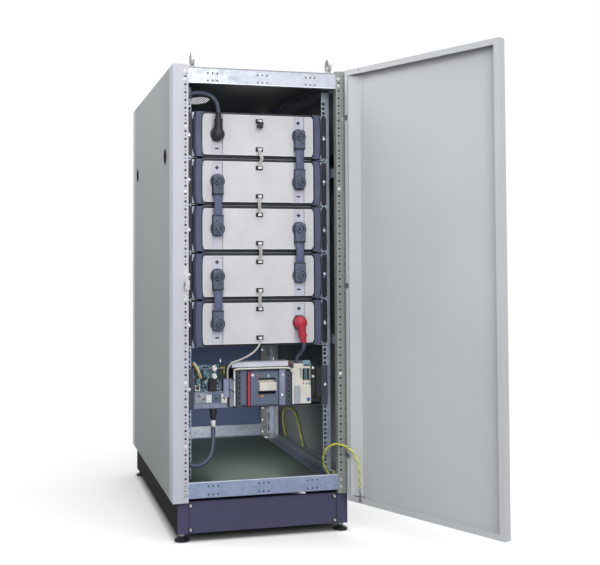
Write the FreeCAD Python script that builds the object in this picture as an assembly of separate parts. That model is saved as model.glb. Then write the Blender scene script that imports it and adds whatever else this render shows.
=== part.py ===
"""Battery rack cabinet: five 19-inch battery modules in series above a switch chassis,
in an open-bottomed steel cabinet on a plinth with levelling feet. Millimetres, +Z up.
The origin is on the floor, at the middle of the cabinet's plan. The front faces -Y.
The door stands open, as it is stored."""
import FreeCAD
import Part
import math
import os

V = FreeCAD.Vector

# Cabinet
width = 600.0
depth = 1000.0
post_height = 1390.0
foot_clear = 25.0
plinth_height = 100.0

# Corner posts, folded from sheet
post_sheet = 2.0
post_depth = 65.0
strip_width = 34.0
flange_width = 17.0
flange_step = 3.0
flange_lip = 25.0
back_fold = 29.0
back_lip = 14.0
system_pitch = 25.0
system_hole = 7.0

# Frame rails
rail_height = 49.0
rail_depth = 40.0
rail_lip = 14.0
rail_setback = 5.0
top_rail_drop = 9.0
bottom_rail_rise = 12.0
side_rail_reach = 49.0
side_rail_inset = 3.0
side_rail_drop = 6.0
brace_height = 30.0
brace_inset = 14.0
brace_low_height = 620.0
brace_high_height = 1183.0

# Panels
panel_sheet = 1.2
panel_fold = 12.0
panel_gap = 0.5
roof_sheet = 2.0
roof_gap = 1.0
vent_width = 84.0
vent_length = 170.0
vent_x = -98.0
vent_y = 114.0
vent_slot = 5.0
vent_pitch = 9.0

# Quarter-turn panel locks
lock_from_end = 150.0
lock_height = 1233.0
lock_ring_radius = 25.0
lock_ring_thick = 2.0
lock_cup_radius = 20.0
lock_cup_wall = 1.5
lock_cup_depth = 16.0
lock_shaft_radius = 4.0
lock_tongue_length = 44.0
lock_tongue_width = 12.0
lock_tongue_thick = 3.0
lock_grip_thick = 7.0
lock_grip_depth = 10.0
running_clearance = 0.05

# Lifting eyes
eye_from_side = 68.0
eye_from_front = 32.0
eye_outer_radius = 22.5
eye_bore_radius = 12.5
eye_thick = 10.0
eye_collar_radius = 12.5
eye_collar_height = 5.0
eye_neck_height = 5.0
eye_stud_radius = 5.0
eye_stud_length = 16.0

# Plinth and levelling feet
plinth_inset = 16.0
plinth_leg = 38.0
plinth_wall = 3.0
plinth_flange = 4.0
plinth_sheet = 1.5
plinth_panel_set = 1.0
plinth_screw_inset = 12.0
plinth_screw_side = 6.0
foot_from_corner = 19.0
foot_disc_radius = 23.5
foot_disc_height = 6.0
foot_cone_height = 5.0
foot_stem_radius = 6.0
foot_stem_top = 62.0
foot_nut_flats = 19.0
foot_nut_height = 8.0

# 19-inch rack
rack_unit = 44.45
rack_side_room = 75.0
rack_hole_reach = 7.55
rack_ear_reach = 16.3
rack_setback = 85.0
rack_sheet = 2.0
rack_flange = 27.0
rack_web = 42.0
rack_tail = 10.0
rack_hole = 9.5
rack_rear_setback = 200.0

# Battery modules
modules = 5
module_units = 3.5
units_above = 1.0
device_clear = 5.5
module_air = 5.575
case_depth = 480.0
case_sheet = 1.5
case_chamfer = 3.0
case_mouth_inset = 6.0
cell_rows = 8
cell_height = 118.5
cell_thick = 50.1
cell_width = 160.0
cell_gap = 1.0
cell_from_front = 40.0
ear_sheet = 2.0
ear_short = 5.0
ear_leg = 32.0
ear_slot_radius = 3.4
ear_slot_travel = 9.6
plate_short = 8.0
plate_thick = 13.0
plate_bow = 3.0
plate_corner = 6.0
bezel_width = 29.5
bezel_gap = 1.5
bezel_thick = 16.0
bezel_scallop = 7.0
bezel_scallop_height = 24.0
bezel_chamfer = 4.0
bezel_short = 1.5
terminal_from_edge = 50.0
channel_width = 38.0
channel_depth = 8.0
recess_radius = 25.0
recess_depth = 10.0
terminal_radius = 13.0
terminal_bore = 6.0
terminal_height = 4.0
port_x = 2.0
port_from_edge = 20.0
port_width = 24.0
port_height = 14.0
port_stand = 3.0
port_mouth_width = 17.0
port_mouth_height = 7.0
runner_sheet = 2.0
runner_reach = 45.0
runner_leg = 20.0

# Battery cables
head_radius = 19.0
head_length = 36.0
head_dome = 7.0
shank_radius = 14.0
boot_width = 34.0
boot_length = 44.0
boot_back = 20.0
boot_depth = 26.0
boot_corner = 5.0
boot_chamfer = 1.5
boot_cap_radius = 13.5
boot_cap_height = 2.5
strap_width = 26.0
strap_thick = 8.0
plug_shank = 44.0
shank_taper = 1.5
plug_collar = 5.0
plug_sleeve_radius = 11.0
plug_sleeve = 18.0
red_head_radius = 21.0
red_shank_radius = 14.0
red_shank = 46.0
red_tilt = 8.0
power_cable_diameter = 14.0
data_cable_diameter = 6.0
data_plug = 8.0
earth_strap_diameter = 6.0
cable_from_side = 27.0
cable_from_front = 35.0
cable_sway = 2.0
cable_waves = 3
gland_length = 37.0
gland_radius = 11.0
strap_lug_in = 46.0
strap_lug_back = 62.0
strap_lug_from_edge = 57.0
strap_lug_top = 52.0
strap_barrel = 18.0
strap_barrel_radius = 3.8
strap_barrel_stand = 2.0

# Switch chassis
chassis_units = 3.0
units_between = 1.5
chassis_gap = 0.8
chassis_depth = 337.0
chassis_sheet = 1.5
chassis_wall = 100.0
carrier_setback = 90.0

# Devices of the chassis keep their share of its front, in hundredths: x of its width from the
# middle, and z of its height from the floor
breaker_x0 = -5.69
breaker_x1 = 15.72
breaker_proud = 6.0
toggle_x0 = -0.23
toggle_x1 = 12.76
toggle_z = 52.37
toggle_slot = 26.0
toggle_radius = 20.0
toggle_grip = 17.0
toggle_grip_half = 13.5
toggle_pin_radius = 3.0
toggle_pin_length = 7.0
button_share_x = -33.26
button_share_z = (79.0, 98.6)
button_radius = 6.5
button_travel = 2.0
button_stand = 8.0
contactor_top = 106.2
clamp_share_x = 30.3
gland_share_x = -33.94
gland_back = 15.0

# Front door
door_side_gap = 1.5
door_top_gap = 2.0
door_thick = 27.0
door_gap = 2.0
door_sheet = 1.5
door_lip = 18.0
door_hinge_lip = 12.0
door_drop = 17.0
door_open_angle = 116.0
hinge_axis_in = 7.5
hinge_axis_back = 19.0
hinge_count = 3
hinge_end = 150.0
hinge_half = 14.0
hinge_knuckle_radius = 4.5
hinge_pin_radius = 3.0
hinge_arm = 2.5
hinge_leaf = 1.6
hinge_leaf_width = 24.0
hinge_slack = 0.4
hinge_notch_depth = 11.0
hinge_notch_spare = 2.0
stiffener_foot = 10.0
stiffener_reach = 33.0
lip_hole_from_edge = 64.0
lip_hole_radius = 2.5
lock_from_edge = 20.0
handle_length = 118.0
handle_width = 18.0
handle_thick = 9.0
handle_stand = 5.0
spindle_radius = 5.0
cam_length = 32.0
cam_width = 12.0
cam_thick = 3.0
cam_slack = 0.5
keeper_width = 17.0
keeper_height = 108.0
keeper_sheet = 2.0
keeper_hook = 30.0
keeper_reach = 17.0
keeper_return = 14.0

# Places that several pieces share
left = -width / 2
right = width / 2
front = -depth / 2
back = depth / 2
base = foot_clear + plinth_height
post_top = base + post_height
post_width = strip_width + flange_width
top_rail_top = post_top - top_rail_drop
bottom_rail_bottom = base + bottom_rail_rise
rack_bottom = bottom_rail_bottom - side_rail_drop + rail_height
rack_top = top_rail_top - rail_height
rack_opening = width - 2 * rack_side_room
rack_hole_span = rack_opening + 2 * rack_hole_reach
rack_ear_span = rack_opening + 2 * rack_ear_reach
rack_units = int((rack_top - rack_bottom) / rack_unit)
hole_steps = (rack_unit / 7, rack_unit / 2, rack_unit * 6 / 7)
rack_front = front + rack_setback
rack_rear = back - rack_rear_setback
rack_inner = rack_opening / 2
rack_web_x = rack_inner + rack_flange
brace_depth = right - brace_inset - rack_web_x - rack_tail
module_pitch = module_units * rack_unit
module_first_unit = rack_units - units_above - modules * module_units
case_width = rack_opening - 2 * device_clear
case_height = module_pitch - module_air
ear_height = case_height - 2 * ear_short
bezel_reach = case_width / 2 + ear_sheet - 0.5
plate_width = 2 * (bezel_reach - bezel_width - bezel_gap)
plate_height = case_height - 2 * plate_short
bezel_height = case_height - 2 * bezel_short
terminal_offset = plate_width / 2 - terminal_from_edge
port_offset = plate_height / 2 - port_from_edge
face = rack_front - ear_sheet
plate_front = face - plate_thick
recess_floor = plate_front + recess_depth
head_back = recess_floor - terminal_height
cable_y = (head_back - head_length + plate_front) / 2
plinth_x = width / 2 - plinth_inset
plinth_y = depth / 2 - plinth_inset
foot_x = plinth_x - foot_from_corner
foot_y = plinth_y - foot_from_corner
chassis_width = rack_opening - 2 * device_clear
chassis_first_unit = module_first_unit - units_between - chassis_units
chassis_bottom = rack_bottom + chassis_first_unit * rack_unit + chassis_gap
chassis_top = chassis_bottom + chassis_units * rack_unit - 2 * chassis_gap
carrier = rack_front + carrier_setback
strap_y = (head_back - boot_depth + plate_front) / 2
door_width = width - 2 * door_side_gap
door_bottom = base - door_drop
door_height = post_top - door_top_gap - door_bottom
door_middle = door_bottom + door_height / 2
hinge_x = door_width / 2 - hinge_axis_in
hinge_y = front - door_gap - hinge_axis_back


def across(share):
    """A place across the chassis, from hundredths of its width."""
    return share / 100 * chassis_width


def level(share):
    """A height on the chassis, from hundredths of its height."""
    return chassis_bottom + share / 100 * (chassis_top - chassis_bottom)


gland_x, gland_y = across(gland_share_x), rack_front + gland_back
clamp_x = across(clamp_share_x)
toggle_left, toggle_right, toggle_height = across(toggle_x0), across(toggle_x1), level(toggle_z)
button_x = across(button_share_x)
button_heights = [level(z) for z in button_share_z]


def module_middle(number):
    """Height of a module's middle; number 0 is the top one."""
    lowest = rack_bottom + (module_first_unit + module_units / 2) * rack_unit
    return lowest + (modules - 1 - number) * module_pitch


def nearest_hole(height):
    """Height of the rack hole nearest to a height."""
    unit = math.floor((height - rack_bottom) / rack_unit)
    holes = [rack_bottom + (unit + step) * rack_unit + hole
             for step in (-1, 0, 1) for hole in hole_steps]
    return min(holes, key=lambda hole: abs(hole - height))


def box(x0, x1, y0, y1, z0, z1):
    return Part.makeBox(x1 - x0, y1 - y0, z1 - z0, V(x0, y0, z0))


def rod(x, y, z, axis, radius, length):
    return Part.makeCylinder(radius, length, V(x, y, z), V(*axis))


def swap(shape, x=False, y=False):
    """The same piece on the other side, across X or Y or both."""
    if x:
        shape = shape.mirror(V(0, 0, 0), V(1, 0, 0))
    if y:
        shape = shape.mirror(V(0, 0, 0), V(0, 1, 0))
    return shape


def place(u, v, w, plane):
    return {"XY": V(u, v, w), "YZ": V(w, u, v), "XZ": V(u, w, v)}[plane]


def prism(points, low, high, plane):
    """A straight-sided outline in a plane, drawn out from low to high along the third axis."""
    corners = [place(u, v, low, plane) for u, v in points]
    outline = Part.Face(Part.makePolygon(corners + corners[:1]))
    return outline.extrude(place(0, 0, high - low, plane))


def folded(path, sheet, low, high, plane):
    """A folded sheet: the middle line of its section, thickened with mitred corners."""
    points = [V(u, v, 0) for u, v in path]
    runs = [(b - a).normalize() for a, b in zip(points, points[1:])]
    sides = [V(-run.y, run.x, 0) for run in runs]
    one, other = [], []
    for number, point in enumerate(points):
        before = sides[max(number - 1, 0)]
        after = sides[min(number, len(sides) - 1)]
        mitre = (before + after) * (sheet / 2 / (1 + before.dot(after)))
        one.append((point + mitre).x)
        one.append((point + mitre).y)
        other.append(((point - mitre).x, (point - mitre).y))
    outline = list(zip(one[0::2], one[1::2])) + other[::-1]
    return prism(outline, low, high, plane)


def tube(route, diameter, name):
    """A round cable: straight runs joined by arcs as large as the runs allow."""
    points = [V(*point) for point in route]
    edges, radii, last = [], [], points[0]
    for before, point, after in zip(points, points[1:], points[2:]):
        to_before = (before - point).normalize()
        to_after = (after - point).normalize()
        reach = 0.45 * min((before - point).Length, (after - point).Length)
        half_turn = (math.pi - to_before.getAngle(to_after)) / 2
        radius = reach / math.tan(half_turn)
        inward = (to_before + to_after).normalize()
        start = point + to_before * reach
        end = point + to_after * reach
        middle = point + inward * (radius / math.cos(half_turn) - radius)
        edges.append(Part.LineSegment(last, start).toShape())
        edges.append(Part.Arc(start, middle, end).toShape())
        radii.append(radius)
        last = end
    edges.append(Part.LineSegment(last, points[-1]).toShape())
    line = Part.Wire(edges)
    section = Part.Wire(Part.makeCircle(diameter / 2, points[0], points[1] - points[0]))
    solid = line.makePipeShell([section], True, True)
    share = solid.Volume / (line.Length * math.pi * diameter ** 2 / 4)
    print(name, "length %.0f" % line.Length, "volume share %.4f" % share,
          "radii in diameters", ["%.1f" % (radius / diameter) for radius in radii])
    return solid


def corner_post(holes_every):
    """Front left post. A smooth strip, a set-back flange with system holes, and two lips."""
    half = post_sheet / 2
    strip_end = strip_width - half
    path = [(post_width - half, flange_step + flange_lip),
            (post_width - half, flange_step + half),
            (strip_end, flange_step + half), (strip_end, half), (half, half),
            (half, post_depth - half), (back_fold - half, post_depth - half),
            (back_fold - half, post_depth - back_lip)]
    path = [(left + x, front + y) for x, y in path]
    post = folded(path, post_sheet, base, post_top, "XY")
    middle = left + strip_width + flange_width / 2 - half
    cutters = []
    height = base + system_pitch
    while height < post_top - system_pitch / 2:
        cutters.append(box(middle - system_hole / 2, middle + system_hole / 2,
                           front, front + flange_step + 2 * post_sheet,
                           height - system_hole / 2, height + system_hole / 2))
        height += holes_every
    return post.cut(Part.makeCompound(cutters))


def front_rail(low, lip_up):
    """Cross rail between the flange lips, open to the back, with one short lip."""
    half = post_sheet / 2
    y0 = front + rail_setback + half
    top, bottom = low + rail_height - half, low + half
    path = [(y0 + rail_depth - half, top), (y0, top), (y0, bottom), (y0 + rail_lip, bottom)]
    if lip_up:
        path = [(y, top + bottom - z) for y, z in path]
    reach = width / 2 - post_width
    return folded(path, post_sheet, -reach, reach, "YZ")


def side_rail(low):
    """Left side rail between the posts, open inwards."""
    half = post_sheet / 2
    outer = left + side_rail_inset + half
    inner = outer + side_rail_reach - half
    top, bottom = low + rail_height - half, low + half
    path = [(inner, top), (outer, top), (outer, bottom), (inner, bottom)]
    reach = depth / 2 - post_depth
    return folded(path, post_sheet, -reach, reach, "XZ")


def brace(middle):
    """Left depth brace that the rack rails are fixed to, open outwards."""
    half = post_sheet / 2
    outer = left + brace_inset
    inner = outer + brace_depth - half
    top, bottom = middle + brace_height / 2 - half, middle - brace_height / 2 + half
    path = [(outer, top), (inner, top), (inner, bottom), (outer, bottom)]
    reach = depth / 2 - post_depth
    return folded(path, post_sheet, -reach, reach, "XZ")


def rack_rail_section(plane_y, way):
    """Middle line of a left rack rail's section: mounting flange, web and fixing tail."""
    half = rack_sheet / 2
    y = plane_y + way * half
    web = -(rack_web_x - half)
    return [(-rack_inner, y), (web, y), (web, y + way * (rack_web - rack_sheet)),
            (web - half - rack_tail, y + way * (rack_web - rack_sheet))]


def rack_rail_front():
    """Left front rack rail with three square holes in each unit."""
    rail = folded(rack_rail_section(rack_front, 1), rack_sheet, rack_bottom, rack_top, "XY")
    cutters = []
    for unit in range(rack_units):
        for step in hole_steps:
            height = rack_bottom + unit * rack_unit + step
            cutters.append(box(-rack_hole_span / 2 - rack_hole / 2,
                               -rack_hole_span / 2 + rack_hole / 2,
                               rack_front - 1, rack_front + rack_sheet + 1,
                               height - rack_hole / 2, height + rack_hole / 2))
    return rail.cut(Part.makeCompound(cutters))


def rack_rail_rear():
    """Left rear rack rail, with one upright slot in each unit."""
    rail = folded(rack_rail_section(rack_rear, -1), rack_sheet, rack_bottom, rack_top, "XY")
    slot_high = hole_steps[2] - hole_steps[0]
    cutters = []
    for unit in range(rack_units):
        height = rack_bottom + unit * rack_unit + hole_steps[1]
        cutters.append(box(-rack_hole_span / 2 - ear_slot_radius,
                           -rack_hole_span / 2 + ear_slot_radius,
                           rack_rear - rack_sheet - 1, rack_rear + 1,
                           height - slot_high / 2, height + slot_high / 2))
    return rail.cut(Part.makeCompound(cutters))


def runner(number):
    """Left angle that carries one module, screwed inside the webs of both rack rails."""
    half = runner_sheet / 2
    outer = -(rack_web_x - rack_sheet) + half
    shelf = module_middle(number) - case_height / 2 - half
    path = [(outer + runner_reach, shelf), (outer, shelf), (outer, shelf + runner_leg)]
    return folded(path, runner_sheet, rack_front + rack_sheet, rack_rear - rack_sheet, "XZ")


def roof_panel():
    """Roof sheet on the rails, notched round the posts, with an oval field of vent slots."""
    top = top_rail_top + roof_sheet
    edge = side_rail_inset
    sheet = box(left + edge, right - edge, front + edge, back - edge, top_rail_top, top)
    notch_x, notch_y = post_width + roof_gap, post_depth + roof_gap
    for sx in (False, True):
        for sy in (False, True):
            corner = box(left, left + notch_x, front, front + notch_y, top_rail_top, top)
            sheet = sheet.cut(swap(corner, sx, sy))
    slots = []
    count = int(vent_width / 2 / vent_pitch)
    for step in range(-count, count + 1):
        offset = step * vent_pitch
        half = vent_length / 2 * math.sqrt(1 - (2 * offset / vent_width) ** 2)
        x = vent_x + offset
        slots.append(box(x - vent_slot / 2, x + vent_slot / 2, vent_y - half, vent_y + half,
                         top_rail_top - 1, top + 1))
    sheet = sheet.cut(Part.makeCompound(slots))
    for x, y in eye_places():
        sheet = sheet.cut(rod(x, y, top_rail_top - 1, (0, 0, 1),
                              eye_stud_radius + running_clearance, roof_sheet + 2))
    return sheet


def pan(x0, x1, y0, y1, z0, z1, sheet, fold, open_side):
    """A shallow tray: a sheet with its four edges folded towards the open side."""
    tray = box(x0, x1, y0, y1, z0, z1)
    low, high = [x0, y0, z0], [x1, y1, z1]
    axis = "xyz".index(open_side[1])
    for side in range(3):
        if side != axis:
            low[side] += sheet
            high[side] -= sheet
    if open_side[0] == "+":
        low[axis] += sheet
        high[axis] += fold
    else:
        high[axis] -= sheet
        low[axis] -= fold
    return tray.cut(box(low[0], high[0], low[1], high[1], low[2], high[2]))


def lock_places():
    reach = depth / 2 - lock_from_end
    return [-reach, reach]


def side_panel():
    """Left side panel: a folded sheet between the posts, bored for its two locks."""
    reach = depth / 2 - post_depth - panel_gap
    panel = pan(left, left + panel_fold, -reach, reach, base + panel_gap, post_top - panel_gap,
                panel_sheet, panel_fold, "+x")
    clear = (side_rail_inset - panel_sheet) / 2
    ring = box(left + panel_sheet + clear, left + 2 * panel_fold, -reach, reach,
               base + panel_gap, bottom_rail_bottom + rail_height + clear)
    roof_ring = box(left + panel_sheet + clear, left + 2 * panel_fold, -reach, reach,
                    top_rail_top - rail_height - clear, post_top)
    panel = panel.cut(ring).cut(roof_ring)
    for y in lock_places():
        panel = panel.cut(rod(left - 1, y, lock_height, (1, 0, 0), lock_cup_radius, panel_sheet + 2))
    return panel


def rear_panel():
    """Rear panel between the rear posts."""
    reach = width / 2 - post_width - panel_gap
    panel = pan(-reach, reach, back - panel_fold, back, base + panel_gap, post_top - panel_gap,
                panel_sheet, panel_fold, "-y")
    inner = back - 2 * panel_sheet
    for low, high in ((base, bottom_rail_bottom + rail_height + 1),
                      (top_rail_top - rail_height - 1, post_top)):
        panel = panel.cut(box(-reach, reach, back - 2 * panel_fold, inner, low, high))
    return panel


def lock_cup(y):
    """Recessed cup of a panel lock: flange ring outside, cup wall and floor inside."""
    outside = left - lock_ring_thick
    section = [(outside, lock_ring_radius), (left, lock_ring_radius),
               (left, lock_cup_radius), (left + lock_cup_depth, lock_cup_radius),
               (left + lock_cup_depth, lock_shaft_radius + running_clearance),
               (left + lock_cup_depth - lock_cup_wall, lock_shaft_radius + running_clearance),
               (left + lock_cup_depth - lock_cup_wall, lock_cup_radius - lock_cup_wall),
               (outside, lock_cup_radius - lock_cup_wall)]
    corners = [V(x, radius, 0) for x, radius in section]
    cup = Part.Face(Part.makePolygon(corners + corners[:1])).revolve(V(0, 0, 0), V(1, 0, 0), 360)
    cup.translate(V(0, y, lock_height))
    return cup


def lock_rotor(y):
    """Turning part of a panel lock: finger grip, shaft and the tongue behind the brace."""
    floor = left + lock_cup_depth - lock_cup_wall
    grip_start = floor - 0.3 - lock_grip_depth
    reach = lock_cup_radius - lock_cup_wall - 1
    grip = box(grip_start, grip_start + lock_grip_depth, y - lock_grip_thick / 2,
               y + lock_grip_thick / 2, lock_height - reach, lock_height + reach)
    round_grip = rod(grip_start, y, lock_height, (1, 0, 0), reach, lock_grip_depth)
    tongue_x = left + brace_inset + brace_depth + 0.6
    shaft = rod(grip_start, y, lock_height, (1, 0, 0), lock_shaft_radius,
                tongue_x + lock_tongue_thick - grip_start)
    half = lock_tongue_width / 2
    tongue = box(tongue_x, tongue_x + lock_tongue_thick, y - half, y + half,
                 lock_height - lock_tongue_length, lock_height)
    tip = rod(tongue_x, y, lock_height, (1, 0, 0), half, lock_tongue_thick)
    return grip.common(round_grip).fuse([shaft, tongue, tip]).removeSplitter()


def eye_places():
    x, y = width / 2 - eye_from_side, depth / 2 - eye_from_front
    return [(-x, -y), (x, -y), (-x, y), (x, y)]


def lifting_eye(x, y):
    """Forged eye bolt: ring on a necked collar, with its stud through the roof and the rail."""
    seat = top_rail_top + roof_sheet
    centre = seat + eye_collar_height + eye_neck_height + eye_outer_radius - 4
    ring = rod(x - eye_thick / 2, y, centre, (1, 0, 0), eye_outer_radius, eye_thick)
    collar = rod(x, y, seat, (0, 0, 1), eye_collar_radius, eye_collar_height)
    neck = Part.makeCone(eye_collar_radius - 2, eye_stud_radius, eye_neck_height + 4,
                         V(x, y, seat + eye_collar_height))
    stud = rod(x, y, seat - eye_stud_length, (0, 0, 1), eye_stud_radius, eye_stud_length)
    eye = ring.fuse([collar, neck, stud])
    return eye.cut(rod(x - eye_thick, y, centre, (1, 0, 0), eye_bore_radius, 2 * eye_thick))


def plinth_corner():
    """Front left plinth corner: two walls, a top flange and a bottom flange bored for the foot."""
    x0, y0 = -plinth_x, -plinth_y
    x1, y1 = x0 + plinth_leg, y0 + plinth_leg
    corner = box(x0, x1, y0, y1, foot_clear, base)
    corner = corner.cut(box(x0 + plinth_wall, x1, y0 + plinth_wall, y1,
                            foot_clear + plinth_flange, base - plinth_flange))
    return corner.cut(rod(-foot_x, -foot_y, foot_clear - 1, (0, 0, 1),
                          foot_stem_radius + running_clearance, plinth_flange + 2))


def plinth_front_panel():
    """Front plinth panel between the corners, folded back at the top and at the bottom."""
    reach = plinth_x - plinth_leg
    y0 = -plinth_y + plinth_panel_set + plinth_sheet / 2
    top, bottom = base - 1 - plinth_sheet / 2, foot_clear + 1 + plinth_sheet / 2
    path = [(y0 + 14, top), (y0, top), (y0, bottom), (y0 + 14, bottom)]
    panel = folded(path, plinth_sheet, -reach, reach, "YZ")
    for x, z in plinth_screw_places():
        panel = panel.cut(rod(x, -plinth_y - 1, z, (0, 1, 0), 2.5, plinth_wall + 4))
    return panel


def plinth_side_panel():
    reach = plinth_y - plinth_leg
    x0 = -plinth_x + plinth_panel_set + plinth_sheet / 2
    top, bottom = base - 1 - plinth_sheet / 2, foot_clear + 1 + plinth_sheet / 2
    path = [(x0 + 14, top), (x0, top), (x0, bottom), (x0 + 14, bottom)]
    return folded(path, plinth_sheet, -reach, reach, "XZ")


def plinth_screw_places():
    x = plinth_x - plinth_leg - plinth_screw_side
    low, high = foot_clear + plinth_screw_inset, base - plinth_screw_inset
    return [(-x, low), (x, low), (-x, high), (x, high)]


def levelling_foot():
    """Front left foot: pad, cone, threaded stem and the hexagon that turns it."""
    cone_top = foot_disc_height + foot_cone_height
    section = [(0, 0), (foot_disc_radius, 0), (foot_disc_radius, foot_disc_height),
               (foot_stem_radius + 3, cone_top), (foot_stem_radius, cone_top),
               (foot_stem_radius, foot_stem_top), (0, foot_stem_top)]
    corners = [V(radius, 0, z) for radius, z in section]
    foot = Part.Face(Part.makePolygon(corners + corners[:1])).revolve(V(0, 0, 0), V(0, 0, 1), 360)
    foot = foot.fuse(hexagon(foot_disc_height + 2, foot_clear - foot_nut_height))
    foot.translate(V(-foot_x, -foot_y, 0))
    return foot


def hexagon(low, high):
    """Six-sided prism about the vertical axis."""
    spread = foot_nut_flats / math.sqrt(3)
    turns = [math.radians(60 * k) for k in range(6)]
    return prism([(spread * math.cos(t), spread * math.sin(t)) for t in turns], low, high, "XY")


def lock_nut():
    """Lock nut of the front left foot, tight against the plinth."""
    nut = hexagon(foot_clear - foot_nut_height, foot_clear)
    nut = nut.cut(rod(0, 0, 0, (0, 0, 1), foot_stem_radius + running_clearance, base))
    nut.translate(V(-foot_x, -foot_y, 0))
    return nut


def pan_screw(x, y, z, shank_length, head_radius_here, shank_radius_here):
    """Pan-head screw driven backwards: its head stands in front of y."""
    head = rod(x, y, z, (0, -1, 0), head_radius_here, 3.0)
    return head.fuse(rod(x, y, z, (0, 1, 0), shank_radius_here, shank_length))


def battery_case(number):
    """Steel case of a module, open at the front where its front plate closes it."""
    middle = module_middle(number)
    walls = []
    for sheet in (0, case_sheet):
        half, rise = case_width / 2 - sheet, case_height / 2 - sheet
        wall = box(-half, half, face + sheet, face + case_depth - sheet, middle - rise,
                   middle + rise)
        walls.append(wall.makeChamfer(case_chamfer, [edge for edge in wall.Edges
                                                     if edge.BoundBox.YLength > case_depth / 2]))
    mouth_x = plate_width / 2 - case_mouth_inset
    mouth_z = plate_height / 2 - case_mouth_inset
    mouth = box(-mouth_x, mouth_x, face - 1, face + 2 * case_sheet, middle - mouth_z,
                middle + mouth_z)
    return walls[0].cut(walls[1]).cut(mouth)


def cell_stack(number):
    """Sixteen cells of a module, in two columns on the case's floor."""
    floor = module_middle(number) - case_height / 2 + case_sheet
    cells = []
    for row in range(cell_rows):
        y = face + cell_from_front + row * (cell_thick + cell_gap)
        cell = box(cell_gap, cell_gap + cell_width, y, y + cell_thick, floor,
                   floor + cell_height)
        cells += [cell, swap(cell, x=True)]
    return cells


def bowed_outline(half_width, half_height, bow):
    """Face of a plate whose two ends bulge: two arcs and two straight edges."""
    corner = V(half_width - bow, 0, half_height)
    low = V(corner.x, 0, -corner.z)
    high_left = V(-corner.x, 0, corner.z)
    low_left = V(-corner.x, 0, -corner.z)
    edges = [Part.LineSegment(high_left, corner).toShape(),
             Part.Arc(corner, V(half_width, 0, 0), low).toShape(),
             Part.LineSegment(low, low_left).toShape(),
             Part.Arc(low_left, V(-half_width, 0, 0), high_left).toShape()]
    return Part.Face(Part.Wire(edges))


def battery_front(number):
    """Cream front plate: bowed ends, two cable channels, and a round well for each terminal."""
    middle = module_middle(number)
    plate = bowed_outline(plate_width / 2, plate_height / 2, plate_bow)
    plate.translate(V(0, plate_front, middle))
    plate = plate.extrude(V(0, plate_thick, 0))
    corners = [edge for edge in plate.Edges
               if edge.BoundBox.YLength > plate_thick / 2 and edge.BoundBox.ZLength < 1]
    plate = plate.makeFillet(plate_corner, corners)
    for side in (-1, 1):
        x = side * terminal_offset
        plate = plate.cut(box(x - channel_width / 2, x + channel_width / 2, plate_front - 1,
                              plate_front + channel_depth, middle - plate_height,
                              middle + plate_height))
        plate = plate.cut(rod(x, plate_front - 1, middle, (0, 1, 0), recess_radius,
                              recess_depth + 1))
    return plate


def battery_bezel(number):
    """Right bezel of a module: scalloped outside, hollowed inside to follow the plate's end."""
    middle = module_middle(number)
    inner = plate_width / 2 + bezel_gap
    outer = inner + bezel_width
    half = bezel_height / 2
    low = half - bezel_scallop_height
    points = [(inner - 2 * plate_bow, half), (outer - bezel_scallop, half), (outer, low),
              (outer, -low), (outer - bezel_scallop, -half), (inner - 2 * plate_bow, -half)]
    bezel = prism(points, face - bezel_thick, face, "XZ")
    front_edges = [edge for edge in bezel.Edges
                   if edge.BoundBox.YMax < face - bezel_thick / 2 and edge.BoundBox.XMin > inner]
    bezel = bezel.makeChamfer(bezel_chamfer, front_edges)
    tool = bowed_outline(inner, plate_height / 2 + 2.5, plate_bow)
    tool.translate(V(0, face - 2 * bezel_thick, 0))
    bezel = bezel.cut(tool.extrude(V(0, 3 * bezel_thick, 0)))
    bezel = bezel.cut(box(0, inner - 2 * plate_bow + 0.01, face - 2 * bezel_thick,
                          face + bezel_thick, -case_height, case_height))
    bezel.translate(V(0, 0, middle))
    return bezel


def battery_ear(number):
    """Right mounting ear: an angle on the case's side, slotted for the rack screw."""
    half = ear_sheet / 2
    middle = module_middle(number)
    path = [(rack_ear_span / 2, rack_front - half), (case_width / 2 + half, rack_front - half),
            (case_width / 2 + half, rack_front + ear_leg)]
    ear = folded(path, ear_sheet, middle - ear_height / 2, middle + ear_height / 2, "XY")
    slot = [rod(rack_hole_span / 2, rack_front - 2 * ear_sheet, middle + side * ear_slot_travel / 2,
                (0, 1, 0), ear_slot_radius, 4 * ear_sheet) for side in (-1, 1)]
    slot.append(box(rack_hole_span / 2 - ear_slot_radius, rack_hole_span / 2 + ear_slot_radius,
                    rack_front - 2 * ear_sheet, rack_front + ear_sheet,
                    middle - ear_slot_travel / 2, middle + ear_slot_travel / 2))
    return ear.cut(slot[0].fuse(slot[1:]))


def battery_terminal(number, side):
    x, z = side * terminal_offset, module_middle(number)
    socket = rod(x, recess_floor, z, (0, -1, 0), terminal_radius, terminal_height)
    return socket.cut(rod(x, recess_floor + 1, z, (0, -1, 0), terminal_bore, terminal_height + 2))


def port_heights(number):
    middle = module_middle(number)
    return middle + port_offset, middle - port_offset


def data_port(z):
    """Data socket: a raised rim round an open mouth."""
    rim = box(port_x - port_width / 2, port_x + port_width / 2, plate_front - port_stand,
              plate_front, z - port_height / 2, z + port_height / 2)
    mouth = box(port_x - port_mouth_width / 2, port_x + port_mouth_width / 2,
                plate_front - port_stand - 1, plate_front - 1,
                z - port_mouth_height / 2, z + port_mouth_height / 2)
    return rim.cut(mouth)


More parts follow.
